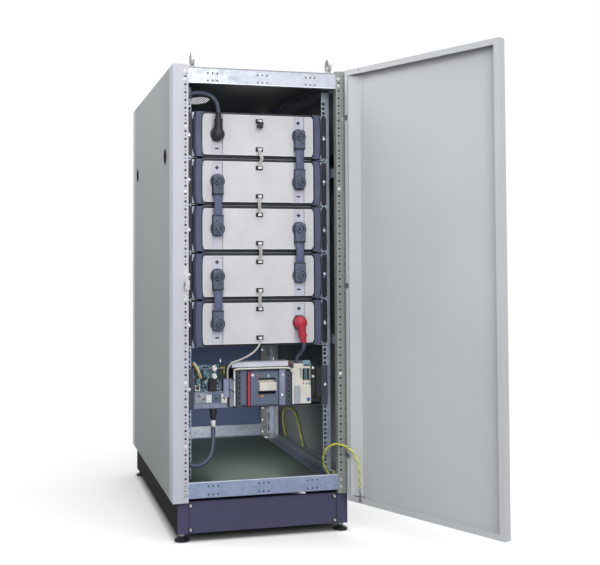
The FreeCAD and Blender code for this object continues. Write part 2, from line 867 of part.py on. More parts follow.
def cable_head(x, z, radius, shank, root_radius, turn, more=()):
    """Moulded elbow: a domed cap over the terminal and a tapering shank along +Z, then turned."""
    cap_front = head_back - head_length
    section = [(0, head_back), (radius, head_back), (radius, cap_front + head_dome)]
    corners = [V(r, y, 0) for r, y in section]
    edges = [Part.LineSegment(a, b).toShape() for a, b in zip(corners, corners[1:])]
    nose = V(0, cap_front, 0)
    bulge = V(radius * math.sin(math.radians(50)), cap_front + head_dome * 0.36, 0)
    edges.append(Part.Arc(corners[-1], bulge, nose).toShape())
    edges.append(Part.LineSegment(nose, corners[0]).toShape())
    cap = Part.Face(Part.Wire(edges)).revolve(V(0, 0, 0), V(0, 1, 0), 360)
    cone = Part.makeCone(root_radius, root_radius - shank_taper, shank, V(0, cable_y, 0))
    head = cap.fuse([cone] + list(more))
    head.rotate(V(0, 0, 0), V(0, 1, 0), turn)
    head.translate(V(x, 0, z))
    return head


def bend_sleeve(low, bottom_radius):
    """Collar and tapering sleeve that keep a cable from kinking where it leaves a shank."""
    collar = rod(0, cable_y, low, (0, 0, 1), bottom_radius + 3, plug_collar)
    sleeve = Part.makeCone(bottom_radius, bottom_radius - 2.5, plug_sleeve,
                           V(0, cable_y, low + plug_collar))
    return [collar, sleeve]


def battery_links():
    """Which terminals the links join: (side, upper module, lower module)."""
    return [(1 if number % 2 == 0 else -1, number, number + 1) for number in range(modules - 1)]


def link_boot(x, z, turn):
    """Moulded boot of a link: a block over the terminal, with a round cap on its front."""
    boot_front = head_back - boot_depth
    boot = box(-boot_width / 2, boot_width / 2, boot_front, head_back, -boot_back, boot_length)
    boot = boot.makeFillet(boot_corner, [edge for edge in boot.Edges
                                         if edge.BoundBox.YLength > boot_depth / 2
                                         and edge.BoundBox.ZMax < 0])
    boot = boot.makeChamfer(boot_chamfer, [edge for edge in boot.Edges
                                           if edge.BoundBox.YMax < boot_front + 0.01])
    cap = rod(0, boot_front, 0, (0, -1, 0), boot_cap_radius, boot_cap_height)
    boot = boot.fuse(cap)
    boot.rotate(V(0, 0, 0), V(0, 1, 0), turn)
    boot.translate(V(x, 0, z))
    return boot


def link_heads():
    heads = []
    for side, upper, lower in battery_links():
        x = side * terminal_offset
        heads.append(link_boot(x, module_middle(upper), 180))
        heads.append(link_boot(x, module_middle(lower), 0))
    return heads


def minus_plug():
    """Elbow plug on the top module's left terminal: shank, collar and bend sleeve upwards."""
    return cable_head(-terminal_offset, module_middle(0), head_radius, plug_shank, shank_radius, 0,
                      bend_sleeve(plug_shank, plug_sleeve_radius))


def chassis_gland():
    """Sleeve under the chassis that the minus cable goes into."""
    return rod(gland_x, gland_y, chassis_bottom - gland_length, (0, 0, 1), gland_radius,
               gland_length)


def plus_plug():
    """Red elbow plug on the bottom module's right terminal, pointing down and a little out."""
    return cable_head(terminal_offset, module_middle(modules - 1), red_head_radius, red_shank,
                      red_shank_radius, 180 - red_tilt, bend_sleeve(red_shank, plug_sleeve_radius))


def link_strap(side, upper, lower):
    """Flat strap between the two heads of a link."""
    x = side * terminal_offset
    top = module_middle(upper) - boot_length
    bottom = module_middle(lower) + boot_length
    return box(x - strap_width / 2, x + strap_width / 2, strap_y - strap_thick / 2,
               strap_y + strap_thick / 2, bottom, top)


def minus_cable():
    """From the top plug over into the left post, down inside it, and up to the chassis."""
    start = module_middle(0) + plug_shank + plug_collar + plug_sleeve
    end = chassis_bottom - gland_length
    post_x, post_y = left + cable_from_side, front + cable_from_front
    route = [(-terminal_offset, cable_y, start), (-terminal_offset, cable_y, start + 28)]
    for share, rise in ((0.14, 54), (0.41, 65), (0.71, 60), (0.94, 35)):
        route.append((-terminal_offset + share * (post_x + terminal_offset),
                      cable_y + share * (post_y - cable_y), start + rise))
    for step in range(cable_waves + 1):
        sway = cable_sway if step % 2 else -cable_sway
        drop = (start - 10 - end + 32) * step / cable_waves
        route.append((post_x + sway, post_y - sway / 2, start - 10 - drop))
    for share, out, fall in ((0.02, 0.03, 94), (0.18, 0.08, 123), (0.41, 0.17, 138),
                             (0.69, 0.29, 133), (0.89, 0.48, 108), (0.97, 0.74, 74), (1, 1, 36)):
        route.append((post_x + share * (gland_x - post_x), post_y + out * (gland_y - post_y),
                      end - fall))
    route.append((gland_x, gland_y, end))
    return tube(route, power_cable_diameter, "minus_cable")


def plus_cable():
    """From the red plug down and back to the contactor's upper clamp."""
    tilt = math.radians(red_tilt)
    reach = red_shank + plug_collar + plug_sleeve
    x = terminal_offset + reach * math.sin(tilt)
    z = module_middle(modules - 1) - reach * math.cos(tilt)
    out = 14.0
    clamp_y = face + 3
    route = [(x, cable_y, z), (x + out * math.sin(tilt), cable_y, z - out * math.cos(tilt)),
             (x + 0.3 * (clamp_x - x), (cable_y + clamp_y) / 2, z - 33), (clamp_x, clamp_y, z - 48),
             (clamp_x, clamp_y, level(contactor_top))]
    return tube(route, power_cable_diameter, "plus_cable")


def data_plug_block(z):
    """Small plug seated in a data port."""
    front_y = plate_front - port_stand
    return box(port_x - port_mouth_width / 2 + 1, port_x + port_mouth_width / 2 - 1,
               front_y - data_plug, plate_front - 1.2, z - port_mouth_height / 2 + 0.3,
               z + port_mouth_height / 2 - 0.3)


def data_cable(number):
    """Short data lead from one module's lower port to the next one's upper port."""
    top = port_heights(number)[1] - port_mouth_height / 2
    bottom = port_heights(number + 1)[0] + port_mouth_height / 2
    y = plate_front - port_stand - data_plug / 2
    span = top - bottom
    sway = (9.0, -3.0, 3.5, -2.5)[number]
    route = [(port_x, y, top), (port_x, y, top - 0.24 * span),
             (port_x + sway, y - 5, top - 0.5 * span), (port_x, y, bottom + 0.24 * span),
             (port_x, y, bottom)]
    return tube(route, data_cable_diameter, "data_cable_%d" % (number + 1))


def data_lead():
    """Data lead from the lowest module down to the left to the control board."""
    top = port_heights(modules - 1)[1] - port_mouth_height / 2
    y = plate_front - port_stand - data_plug / 2
    end_x, end_y = across(-24.15), y + 14
    route = [(port_x, y, top), (port_x, y, top - 16)]
    for share, out, fall in ((0.13, -3, 36), (0.35, -2, 54), (0.63, 2, 68), (0.89, 3, 76),
                             (1, 8, 92)):
        route.append((port_x + share * (end_x - port_x), y + out, top - fall))
    route += [(end_x, end_y, top - 108), (end_x, end_y, level(72.87))]
    return tube(route, data_cable_diameter, "data_lead")


def terminator():
    """Bus terminator: its plug in the top module's upper port and the block that hangs from it."""
    z = port_heights(0)[0]
    y = plate_front - port_stand
    plug = data_plug_block(z)
    block = box(port_x - 7, port_x + 10, y - 18, y - 2, z - 22, z - port_mouth_height / 2 + 1)
    return plug.fuse(block)


def chassis_tray():
    """Open tray of the switch chassis, with its ears and the carrier plate behind the devices."""
    half = chassis_width / 2
    rear = rack_front + chassis_depth
    sheet = chassis_sheet
    path = [(-half + sheet / 2, chassis_bottom + chassis_wall),
            (-half + sheet / 2, chassis_bottom + sheet / 2),
            (half - sheet / 2, chassis_bottom + sheet / 2),
            (half - sheet / 2, chassis_bottom + chassis_wall)]
    tray = folded(path, sheet, rack_front - ear_sheet, rear, "XZ")
    wall = box(-half, half, rear - sheet, rear, chassis_bottom, chassis_bottom + chassis_wall)
    plate = box(-half + sheet, half - sheet, carrier, carrier + sheet, chassis_bottom + sheet,
                chassis_top)
    tray = tray.fuse([wall, plate])
    return tray


def chassis_ear(side):
    ear_half = rack_ear_span / 2
    inner = chassis_width / 2
    ear = box(inner, ear_half, face, rack_front, chassis_bottom, chassis_top)
    leg = box(inner, inner + ear_sheet, rack_front, rack_front + ear_leg, chassis_bottom, chassis_top)
    ear = ear.fuse(leg)
    middle = nearest_hole((chassis_bottom + chassis_top) / 2)
    ear = ear.cut(rod(rack_hole_span / 2, face - 1, middle, (0, 1, 0), ear_slot_radius, 4))
    return swap(ear, x=side < 0)


def device(x0, x1, z0, z1, proud, chamfer=0.0):
    """A device standing on the chassis carrier plate; proud is how far it passes the ears."""
    shape = box(across(x0), across(x1), face - proud, carrier, level(z0), level(z1))
    if chamfer:
        edges = [edge for edge in shape.Edges if edge.BoundBox.YMax < face - proud + 1e-6]
        shape = shape.makeChamfer(chamfer, edges)
    return shape


def breaker_body():
    """Moulded breaker: stepped front, side shoulders and a wide slot for the toggle."""
    body = device(breaker_x0, breaker_x1, 2.28, 91.08, breaker_proud, 3)
    for low, high in ((1.52, 16.7), (76.66, 91.84)):
        body = body.cut(device(breaker_x0 - 0.2, breaker_x1 + 0.2, low, high, breaker_proud + 1).cut(
            box(-width, width, face + 12, 0, 0, post_top)))
    pocket = box(toggle_left - 1, toggle_right + 1, face - breaker_proud - 1,
                 face - breaker_proud + 2 * toggle_radius + 2,
                 toggle_height - toggle_slot, toggle_height + toggle_slot)
    body = body.cut(pocket)
    pins = [rod(x, face - breaker_proud + toggle_radius, toggle_height, (1, 0, 0),
                toggle_pin_radius, toggle_pin_length)
            for x in (toggle_left - 1, toggle_right + 1 - toggle_pin_length)]
    return body.fuse(pins)


def breaker_toggle():
    """Wide toggle: a drum with a grip bar, turning about a cross pin in the slot."""
    pivot_y = face - breaker_proud + toggle_radius
    z = toggle_height
    drum = rod(toggle_left, pivot_y, z, (1, 0, 0), toggle_radius, toggle_right - toggle_left)
    grip = box(toggle_left, toggle_right, pivot_y - toggle_radius - toggle_grip, pivot_y,
               z - toggle_grip_half, z + toggle_grip_half)
    grip_edges = [edge for edge in grip.Edges if edge.BoundBox.YMax < pivot_y - toggle_radius]
    grip = grip.makeChamfer(3.0, grip_edges)
    bore = rod(toggle_left - 1, pivot_y, z, (1, 0, 0), toggle_pin_radius + running_clearance,
               toggle_right - toggle_left + 2)
    return drum.fuse(grip).cut(bore)


def push_button(z):
    """Round white push-button cap with its stem, in a square switch body."""
    y = face + 12
    cap = rod(button_x, y - button_travel - 0.5, z, (0, -1, 0), button_radius, button_stand)
    stem = rod(button_x, y - button_travel - 0.5, z, (0, 1, 0), 3.0, button_travel + 6)
    return cap.fuse(stem)


def control_board():
    """Printed board on edge behind the left end, with relays, capacitors and connectors on it."""
    y = face + 22
    pieces = [box(across(-48.29), across(-29.16), y, y + 1.6, level(33.5), level(107.5))]
    for x0, x1, z0, z1, tall in ((-47.38, -43.28, 81.87, 97.05, 16), (-42.37, -38.27, 77.31, 98.56, 14),
                                 (-47.38, -44.19, 59.09, 75.79, 18), (-42.82, -39.18, 54.54, 69.72, 12),
                                 (-46.92, -40.09, 37.84, 48.47, 15)):
        pieces.append(box(across(x0), across(x1), y - tall, y, level(z0), level(z1)))
    for x, z, radius, tall in ((-45.56, 101.6, 5, 18), (-41.46, 72.76, 5, 16), (-30.52, 68.2, 4, 12)):
        pieces.append(rod(across(x), y, level(z), (0, -1, 0), radius, tall))
    for z in button_heights:
        switch = box(button_x - 7, button_x + 7, face + 12, y, z - 7, z + 7)
        pieces.append(switch.cut(rod(button_x, face + 10, z, (0, 1, 0),
                                     3.0 + running_clearance, 10.5)))
    for x, z in ((-47.38, 36.5), (-30.07, 36.5), (-47.38, 95.64), (-30.07, 95.64)):
        pieces.append(rod(across(x), y + 1.6, level(z), (0, 1, 0), 3.0, carrier - y - 1.6))
    board = pieces[0]
    return board.fuse(pieces[1:])


def terminal_blocks():
    """Black connectors and clamps of the chassis."""
    on_board = box(across(-37.36), across(-32.12), face - 3, face + 22, level(43.0), level(71.3))
    return [on_board, device(-26.88, -20.05, 30.36, 72.87, 2), device(-23.69, -19.13, 4.55, 27.32, 6),
            device(41.46, 49.2, 6.07, 69.83, 2, 2)]


def small_strips():
    """Upright mounting strips between the devices, each on the carrier plate."""
    strips = []
    for x0, x1, proud, high, holes in ((-18.68, -17.08, 4, 97.15, 0), (-16.4, -12.76, 0, 98.67, 7),
                                       (-12.3, -6.83, -6, 95.64, 0), (16.63, 21.41, 2, 98.67, 0),
                                       (21.87, 25.74, -2, 98.67, 7)):
        strip = device(x0, x1, 1.52, high, proud)
        for step in range(holes):
            strip = strip.cut(rod(across((x0 + x1) / 2), face - 9, level(10.63 + 12.9 * step),
                                  (0, 1, 0), 3.2, 16))
        strips.append(strip)
    return strips


def contactor():
    """Contactor under its cream cover, with a stepped front."""
    body = device(27.33, 40.77, 4.55, contactor_top, 10, 3)
    return body.cut(box(across(31.89), across(39.86), face - 11, face - 2, level(63.76), level(94.12)))


def cable_duct():
    """Slotted duct across the top of the devices: a U-section with its lid."""
    y0, y1 = face - 8, face + 26
    z0, z1 = chassis_top + 1, chassis_top + 19
    half = 1.0
    path = [(y0 + half, z1 - 2), (y0 + half, z0 + half), (y1 - half, z0 + half), (y1 - half, z1 - 2)]
    duct = folded(path, 2.0, across(-20.96), across(22.78), "YZ")
    lid = box(across(-20.96), across(22.78), y0 - 1.2, y1 + 1.2, z1 - 2, z1)
    foot = box(across(-13.67), across(18.22), y1 - 6, carrier + chassis_sheet, chassis_top, z0)
    return duct.fuse([lid, foot])


def swing(shape):
    """Turns a piece of the closed door to where the open door holds it."""
    shape = shape.copy()
    shape.rotate(V(hinge_x, hinge_y, 0), V(0, 0, 1), door_open_angle)
    return shape


def hinge_heights():
    span = door_height - 2 * hinge_end
    return [door_bottom + hinge_end + span * k / (hinge_count - 1) for k in range(hinge_count)]


def door_pan():
    """Closed door: outer sheet, edge walls and the inner lips, notched at each hinge."""
    half = door_width / 2
    inner = front - door_gap
    outer = inner - door_thick
    top = door_bottom + door_height
    sheet = door_sheet
    shell = box(-half, half, outer, inner, door_bottom, top)
    shell = shell.cut(box(-half + sheet, half - sheet, outer + sheet, inner - sheet,
                          door_bottom + sheet, top - sheet))
    shell = shell.cut(box(-half + door_lip, half - door_hinge_lip, inner - 2 * sheet, inner + 1,
                          door_bottom + door_lip, top - door_lip))
    for z in hinge_heights():
        shell = shell.cut(box(half - hinge_notch_depth, half + 1, outer + sheet, inner + 1,
                              z - hinge_half - hinge_notch_spare, z + hinge_notch_spare))
    lock_x = -half + lock_from_edge
    shell = shell.cut(rod(lock_x, outer - 1, door_middle, (0, 1, 0),
                          spindle_radius + running_clearance, sheet + 2))
    shell = shell.cut(rod(half - lip_hole_from_edge, inner - 2, top - door_lip / 2, (0, 1, 0),
                          lip_hole_radius, 4))
    return shell


def door_stiffener():
    """Slanted fold along the hinge side, from the lip down to the outer sheet."""
    half = door_width / 2
    inner = front - door_gap
    outer = inner - door_thick
    thick = door_sheet
    start = half - door_hinge_lip - thick
    foot = start - stiffener_reach
    deep = outer + door_sheet + thick / 2
    path = [(start, inner - thick), (foot, deep), (foot - stiffener_foot, deep)]
    return folded(path, thick, door_bottom + door_lip, door_bottom + door_height - door_lip, "XY")


def frame_hinge(z):
    """Frame side of a hinge: a leaf on the post's strip, an arm into the door and its pin."""
    knuckle = rod(hinge_x, hinge_y, z - hinge_half, (0, 0, 1), hinge_knuckle_radius, hinge_half)
    pin = rod(hinge_x, hinge_y, z, (0, 0, 1), hinge_pin_radius, hinge_half - 4)
    side = hinge_x + hinge_arm / 2
    leaf = box(side - hinge_leaf_width, side, front - hinge_leaf, front, z - hinge_half, z)
    arm = box(side - hinge_arm, side, hinge_y, front, z - hinge_half, z)
    return knuckle.fuse([leaf, arm, pin])


def door_hinge(z):
    """Door side of a hinge, closed: the bored upper knuckle and its leaf on the outer sheet."""
    low = z + hinge_slack
    high = z + hinge_half
    knuckle = rod(hinge_x, hinge_y, low, (0, 0, 1), hinge_knuckle_radius, high - low)
    sheet_y = front - door_gap - door_thick + door_sheet
    side = hinge_x + hinge_arm / 2
    arm = box(side - hinge_arm, side, sheet_y, hinge_y, low, high)
    leaf = box(side - hinge_leaf_width, side, sheet_y, sheet_y + hinge_leaf, low, high)
    knuckle = knuckle.fuse([arm, leaf])
    return knuckle.cut(rod(hinge_x, hinge_y, z - 1, (0, 0, 1),
                           hinge_pin_radius + running_clearance, 2 * hinge_half))


def door_handle():
    """Turning handle outside the door, lying across while unlocked, on its round spindle."""
    x = -door_width / 2 + lock_from_edge
    outer = front - door_gap - door_thick
    boss = rod(x, outer - 0.3, door_middle, (0, -1, 0), handle_width / 2, handle_stand)
    y0 = outer - 0.3 - handle_stand - handle_thick
    half = handle_width / 2
    grip = box(x, x + handle_length - half, y0, y0 + handle_thick, door_middle - half * 0.8,
               door_middle + half * 0.8)
    end = rod(x + handle_length - half, y0, door_middle, (0, 1, 0), half * 0.8, handle_thick)
    hub = rod(x, y0, door_middle, (0, 1, 0), half, handle_thick + handle_stand)
    spindle = rod(x, outer - 1, door_middle, (0, 1, 0), spindle_radius, cam_front() - outer + 1)
    return hub.fuse([boss, grip, end, spindle])


def cam_front():
    """The cam's outer face: just behind the keeper's hook."""
    return front - keeper_reach + cam_slack


def latch_cam():
    """Latch tongue on the inner end of the spindle, hanging down while unlocked."""
    x = -door_width / 2 + lock_from_edge
    y0 = cam_front()
    tongue = box(x - cam_width / 2, x + cam_width / 2, y0, y0 + cam_thick,
                 door_middle - cam_length, door_middle)
    root = rod(x, y0, door_middle, (0, 1, 0), cam_width / 2 + 1, cam_thick)
    return tongue.fuse(root)


def door_keeper():
    """Keeper on the left flange: a screwed plate with a hook that the cam turns behind."""
    x0 = left + strip_width
    y1 = front + flange_step
    plate = box(x0, x0 + keeper_width, y1 - keeper_sheet, y1, door_middle - keeper_height / 2,
                door_middle + keeper_height / 2)
    half = keeper_hook / 2
    x1 = x0 + keeper_width
    arm = box(x1 - keeper_sheet, x1, front - keeper_reach, y1 - keeper_sheet,
              door_middle - half, door_middle + half)
    hook = box(x1 - keeper_return, x1, front - keeper_reach - keeper_sheet, front - keeper_reach,
               door_middle - half, door_middle + half)
    return plate.fuse([arm, hook])


def strap_ends():
    """Where the earth lead starts on the side rail and where it ends at the open door's lug."""
    start = V(right - strap_lug_in, front + strap_lug_back, rack_bottom + strap_barrel_radius)
    end = Part.Vertex(hinge_x + hinge_axis_in - strap_lug_from_edge,
                      front - door_gap + strap_barrel_stand, door_bottom + strap_lug_top)
    return start, swing(end).Point


def earth_strap():
    """Earth lead from the right side rail over to the door's lower lip, with slack to swing."""
    start, end = strap_ends()
    route = [start + V(*step) for step in
             ((0, 0, 0), (0, -9, 0), (-7, -13, -8), (-20, -13, -9), (-39, -18, 18), (-50, -32, 53),
              (-47, -52, 83), (-35, -67, 100), (-16, -82, 108), (8, -102, 101))]
    route += [end + V(*step) for step in
              ((-15, 19, 109), (-7, 5, 87), (-2, -1, 56), (0, 0, 22), (0, 0, 0))]
    return tube([tuple(point) for point in route], earth_strap_diameter, "earth_strap")


def frame_lug():
    """Lug of the earth lead on the right side rail: a tab and the barrel that grips the lead."""
    start = strap_ends()[0]
    barrel = rod(start.x, start.y, start.z, (0, 1, 0), strap_barrel_radius, strap_barrel)
    tab = box(start.x - 1.5, start.x + 10, start.y + 8, start.y + strap_barrel + 16,
              rack_bottom, rack_bottom + 1.5)
    return barrel.fuse(tab)


def door_lug():
    """Lug of the earth lead on the closed door's lower lip: ring, neck and barrel."""
    x = hinge_x + hinge_axis_in - strap_lug_from_edge
    inner = front - door_gap
    ring_z = door_bottom + door_lip / 2 + 1
    top = door_bottom + strap_lug_top
    ring = rod(x, inner, ring_z, (0, 1, 0), 7.0, 1.5)
    neck = box(x - 3, x + 3, inner, inner + 1.5, ring_z, top - strap_barrel + 2)
    barrel = rod(x, inner + strap_barrel_stand, top - strap_barrel, (0, 0, 1),
                 strap_barrel_radius, strap_barrel)
    lug = ring.fuse([neck, barrel])
    return lug.cut(rod(x, inner - 1, ring_z, (0, 1, 0), 2.5, 4))


def frame_rails():
    low, high = bottom_rail_bottom, top_rail_top - rail_height
    pieces = [swap(front_rail(low, True), y=True), swap(drilled_rail(high, False), y=True)]
    pieces += [swap(rack_rail_rear(), x) for x in (False, True)]
    for x in (False, True):
        pieces += [swap(side_rail(low - side_rail_drop), x), swap(side_rail(high), x)]
        pieces += [swap(brace(middle), x) for middle in (brace_low_height, brace_high_height)]
        pieces += [swap(runner(number), x) for number in range(modules)]
    return pieces


def drilled_rail(low, lip_up):
    rail = front_rail(low, lip_up)
    for x, y in eye_places():
        rail = rail.cut(rod(x, y, top_rail_top - 5, (0, 0, 1),
                            eye_stud_radius + running_clearance, 10))
    return rail


def frame_fittings():
    """Rack screws, the plinth panel's screws, the feet's lock nuts and the door keeper."""
    screws = []
    for side in (-1, 1):
        x = side * rack_hole_span / 2
        for number in range(modules):
            screws.append(pan_screw(x, face, nearest_hole(module_middle(number)), 16, 6.0, 3.0))
        middle = nearest_hole((chassis_bottom + chassis_top) / 2)
        screws.append(pan_screw(x, face, middle, 16, 6.0, 3.0))
    for x, z in plinth_screw_places():
        screws.append(pan_screw(x, -plinth_y + plinth_panel_set, z, 10, 5.0, 2.5))
    nuts = [swap(lock_nut(), x, y) for x in (False, True) for y in (False, True)]
    return screws + nuts + [door_keeper(), frame_lug()]


def build():
    """Every node's name with its solid or its list of solids."""
    front_low = front_rail(bottom_rail_bottom, True)
    nodes = {
        "upright_front_left": corner_post(system_pitch),
        "upright_front_right": swap(corner_post(system_pitch), x=True),
        "uprights_rear": [swap(corner_post(2 * system_pitch), x, True) for x in (False, True)],
        "top_rail_front": drilled_rail(top_rail_top - rail_height, False),
        "bottom_rail_front": front_low,
        "frame_rails": frame_rails(),
        "rack_rail_front_left": rack_rail_front(),
        "rack_rail_front_right": swap(rack_rail_front(), x=True),
        "roof_panel": roof_panel(),
        "side_panel_left": side_panel(),
        "side_panel_right": swap(side_panel(), x=True),
        "rear_panel": rear_panel(),
        "panel_lock_cups": [swap(lock_cup(y), x) for x in (False, True) for y in lock_places()],
        "panel_lock_left_front": lock_rotor(lock_places()[0]),
        "panel_lock_left_rear": lock_rotor(lock_places()[1]),
        "panel_lock_right_front": swap(lock_rotor(lock_places()[0]), x=True),
        "panel_lock_right_rear": swap(lock_rotor(lock_places()[1]), x=True),
        "lifting_eyes": [lifting_eye(x, y) for x, y in eye_places()],
        "plinth_corners": [swap(plinth_corner(), x, y) for x in (False, True)
                           for y in (False, True)],
        "plinth_panels": [plinth_front_panel(), swap(plinth_front_panel(), y=True),
                          plinth_side_panel(), swap(plinth_side_panel(), x=True)],
        "frame_fittings": frame_fittings(),
        "foot_front_left": levelling_foot(),
        "foot_front_right": swap(levelling_foot(), x=True),
        "foot_rear_left": swap(levelling_foot(), y=True),
        "foot_rear_right": swap(levelling_foot(), x=True, y=True),
        "battery_fronts": [battery_front(number) for number in range(modules)],
        "battery_bezels": [swap(battery_bezel(number), x) for x in (False, True)
                           for number in range(modules)],
        "battery_ears": [swap(battery_ear(number), x) for x in (False, True)
                         for number in range(modules)],
        "battery_terminals": [battery_terminal(number, side) for side in (-1, 1)
                              for number in range(modules)],
        "data_ports": [data_port(z) for number in range(modules) for z in port_heights(number)],
        "black_cable_heads": link_heads() + [minus_plug(), chassis_gland()],
        "red_cable_head": plus_plug(),
        "link_straps": [link_strap(*link) for link in battery_links()],
        "minus_cable": minus_cable(),
        "plus_cable": plus_cable(),
        "data_cables": [data_cable(number) for number in range(modules - 1)] + [data_lead()],
        "data_plugs": [data_plug_block(z) for number in range(modules)
                       for z in port_heights(number)][1:] + [terminator()],
        "chassis_tray": [chassis_tray()] + small_strips(),
        "chassis_ears": [chassis_ear(side) for side in (-1, 1)],
        "breaker_body": breaker_body(),
        "breaker_toggle": breaker_toggle(),
        "button_lower": push_button(button_heights[0]),
        "button_upper": push_button(button_heights[1]),
        "contactor": contactor(),
        "control_board": control_board(),
        "terminal_blocks": terminal_blocks(),
        "cable_duct": cable_duct(),
        "door_pan": swing(door_pan()),
        "door_stiffener": swing(door_stiffener()),
        "door_fittings": [swing(door_hinge(z)) for z in hinge_heights()] + [swing(door_lug())],
        "frame_hinges": [frame_hinge(z) for z in hinge_heights()],
        "door_handle": swing(door_handle()),
        "latch_cam": swing(latch_cam()),
        "earth_strap": earth_strap(),
    }
    for number in range(modules):
        nodes["battery_case_%d" % (number + 1)] = battery_case(number)
    nodes["battery_cells"] = [cell for number in range(modules) for cell in cell_stack(number)]
    return nodes


os.makedirs("parts", exist_ok=True)
for name, shape in build().items():
    solids = shape if isinstance(shape, list) else [shape]
    solids = [solid for piece in solids for solid in piece.Solids]
    whole = solids[0] if len(solids) == 1 else Part.makeCompound(solids)
    if not whole.isValid():
        print("not valid:", name)
    whole.exportStep("parts/%s.step" % name)
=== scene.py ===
import bpy
import math
from mathutils import Matrix, Vector


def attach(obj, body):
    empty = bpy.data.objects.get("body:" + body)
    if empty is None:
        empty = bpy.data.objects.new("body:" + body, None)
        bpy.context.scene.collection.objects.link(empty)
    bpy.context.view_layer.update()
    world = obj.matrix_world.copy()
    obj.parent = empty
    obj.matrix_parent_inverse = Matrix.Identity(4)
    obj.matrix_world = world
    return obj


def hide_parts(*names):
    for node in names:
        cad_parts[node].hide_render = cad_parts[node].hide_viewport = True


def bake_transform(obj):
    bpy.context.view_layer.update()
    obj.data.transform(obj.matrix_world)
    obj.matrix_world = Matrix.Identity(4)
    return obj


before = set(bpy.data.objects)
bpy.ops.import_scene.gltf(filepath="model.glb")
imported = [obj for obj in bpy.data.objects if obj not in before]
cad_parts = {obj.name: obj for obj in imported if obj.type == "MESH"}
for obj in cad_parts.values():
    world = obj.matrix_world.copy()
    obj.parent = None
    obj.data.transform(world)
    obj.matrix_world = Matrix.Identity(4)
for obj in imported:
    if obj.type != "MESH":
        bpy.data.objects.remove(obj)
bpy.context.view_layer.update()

# Sizes and places are given in millimetres and made in metres
cabinet = {"moduleTop": 1302.363, "modulePitch": 155.575, "modules": 5, "terminalX": 140.0, "portRise": 47.0}


def rise(number):
    return cabinet["moduleTop"] - number * cabinet["modulePitch"]


levels = [(0, 0, rise(n)) for n in range(cabinet["modules"])]
terminals = [(side * cabinet["terminalX"], 0, rise(n)) for side in (-1, 1) for n in range(cabinet["modules"])]
ports = [(0, 0, z + way * cabinet["portRise"]) for x, y, z in levels for way in (1, -1)]


def hexToLinear(code):
    values = [int(code[i:i + 2], 16) / 255 for i in (1, 3, 5)]
    return [v / 12.92 if v <= 0.04045 else ((v + 0.055) / 1.055) ** 2.4 for v in values] + [1.0]


def addNode(tree, kind, settings=None, links=None):
    node = tree.nodes.new(kind)
    for key, value in (settings or {}).items():
        if isinstance(key, int) or key in node.inputs:
            node.inputs[key].default_value = value
        else:
            setattr(node, key, value)
    for key, source in (links or {}).items():
        tree.links.new(source, node.inputs[key])
    return node


def startFinish(name):
    material = bpy.data.materials.new(name)
    material.use_nodes = True
    tree = material.node_tree
    tree.nodes.clear()
    return material, tree, addNode(tree, "ShaderNodeTexCoord").outputs["Object"]


def endFinish(tree, settings, colour, gloss, bump=None):
    links = {"Base Color": colour, "Roughness": gloss}
    if bump:
        links["Normal"] = bump
    shader = addNode(tree, "ShaderNodeBsdfPrincipled", settings, links)
    addNode(tree, "ShaderNodeOutputMaterial", {}, {"Surface": shader.outputs["BSDF"]})


def shades(tree, source, codes, stops=(0.3, 0.7), blend="LINEAR"):
    ramp = addNode(tree, "ShaderNodeValToRGB", {}, {"Fac": source})
    ramp.color_ramp.interpolation = blend
    while len(ramp.color_ramp.elements) < len(codes):
        ramp.color_ramp.elements.new(0.5)
    for element, code, stop in zip(ramp.color_ramp.elements, codes, stops):
        element.position = stop
        element.color = hexToLinear(code)
    return ramp.outputs["Color"]


def calculate(tree, operation, *inputs):
    numbers = {n: value for n, value in enumerate(inputs) if isinstance(value, float)}
    links = {n: value for n, value in enumerate(inputs) if n not in numbers}
    return addNode(tree, "ShaderNodeMath", {"operation": operation, **numbers}, links).outputs["Value"]


def noise(tree, place, scale, detail=2.0):
    return addNode(tree, "ShaderNodeTexNoise", {"Scale": scale, "Detail": detail}, {"Vector": place}).outputs["Fac"]


def glossFrom(tree, source, low, high):
    return addNode(tree, "ShaderNodeMapRange", {"To Min": low, "To Max": high}, {"Value": source}).outputs["Result"]


def raised(tree, source, strength, depth):
    bump = addNode(tree, "ShaderNodeBump", {"Strength": strength, "Distance": depth}, {"Height": source})
    return bump.outputs["Normal"]


# Powder coat on steel: an even satin skin, with the shallow orange peel of baked powder
def powderCoat(name, dark, light, rough, shine=0.5):
    material, tree, place = startFinish(name)
    cloud = noise(tree, place, 2.2, 3.0)
    # Peel is about 2 mm across on the real coat; drawn at 3 mm so that it shows
    peel = raised(tree, noise(tree, place, 330.0), 0.06, 0.0006)
    endFinish(tree, {"Coat Weight": 0.08 * shine, "Coat Roughness": 0.3, "Specular IOR Level": shine},
              shades(tree, cloud, [dark, light]), glossFrom(tree, cloud, rough - 0.05, rough + 0.07), peel)
    return material


# Dull coat whose outermost skin along one axis has a tone of its own, to paint shade: the plinth is anthracite in front
# and painted black at its sides as painted shade, the rear panel is light grey outside and painted blue-grey inside as
# painted shade
def paintedShadeCoat(name, axis, edge, inner, outer, shine):
    material, tree, place = startFinish(name)
    parts = addNode(tree, "ShaderNodeSeparateXYZ", {}, {"Vector": place})
    skin = addNode(tree, "ShaderNodeMapRange", {"From Min": edge - 0.0003, "From Max": edge + 0.0001},
                   {"Value": calculate(tree, "ABSOLUTE", parts.outputs[axis])})
    peel = noise(tree, place, 330.0)
    endFinish(tree, {"Specular IOR Level": shine}, shades(tree, skin.outputs["Result"], [inner, outer]),
              glossFrom(tree, peel, 0.6, 0.72), raised(tree, peel, 0.06, 0.0006))
    return material


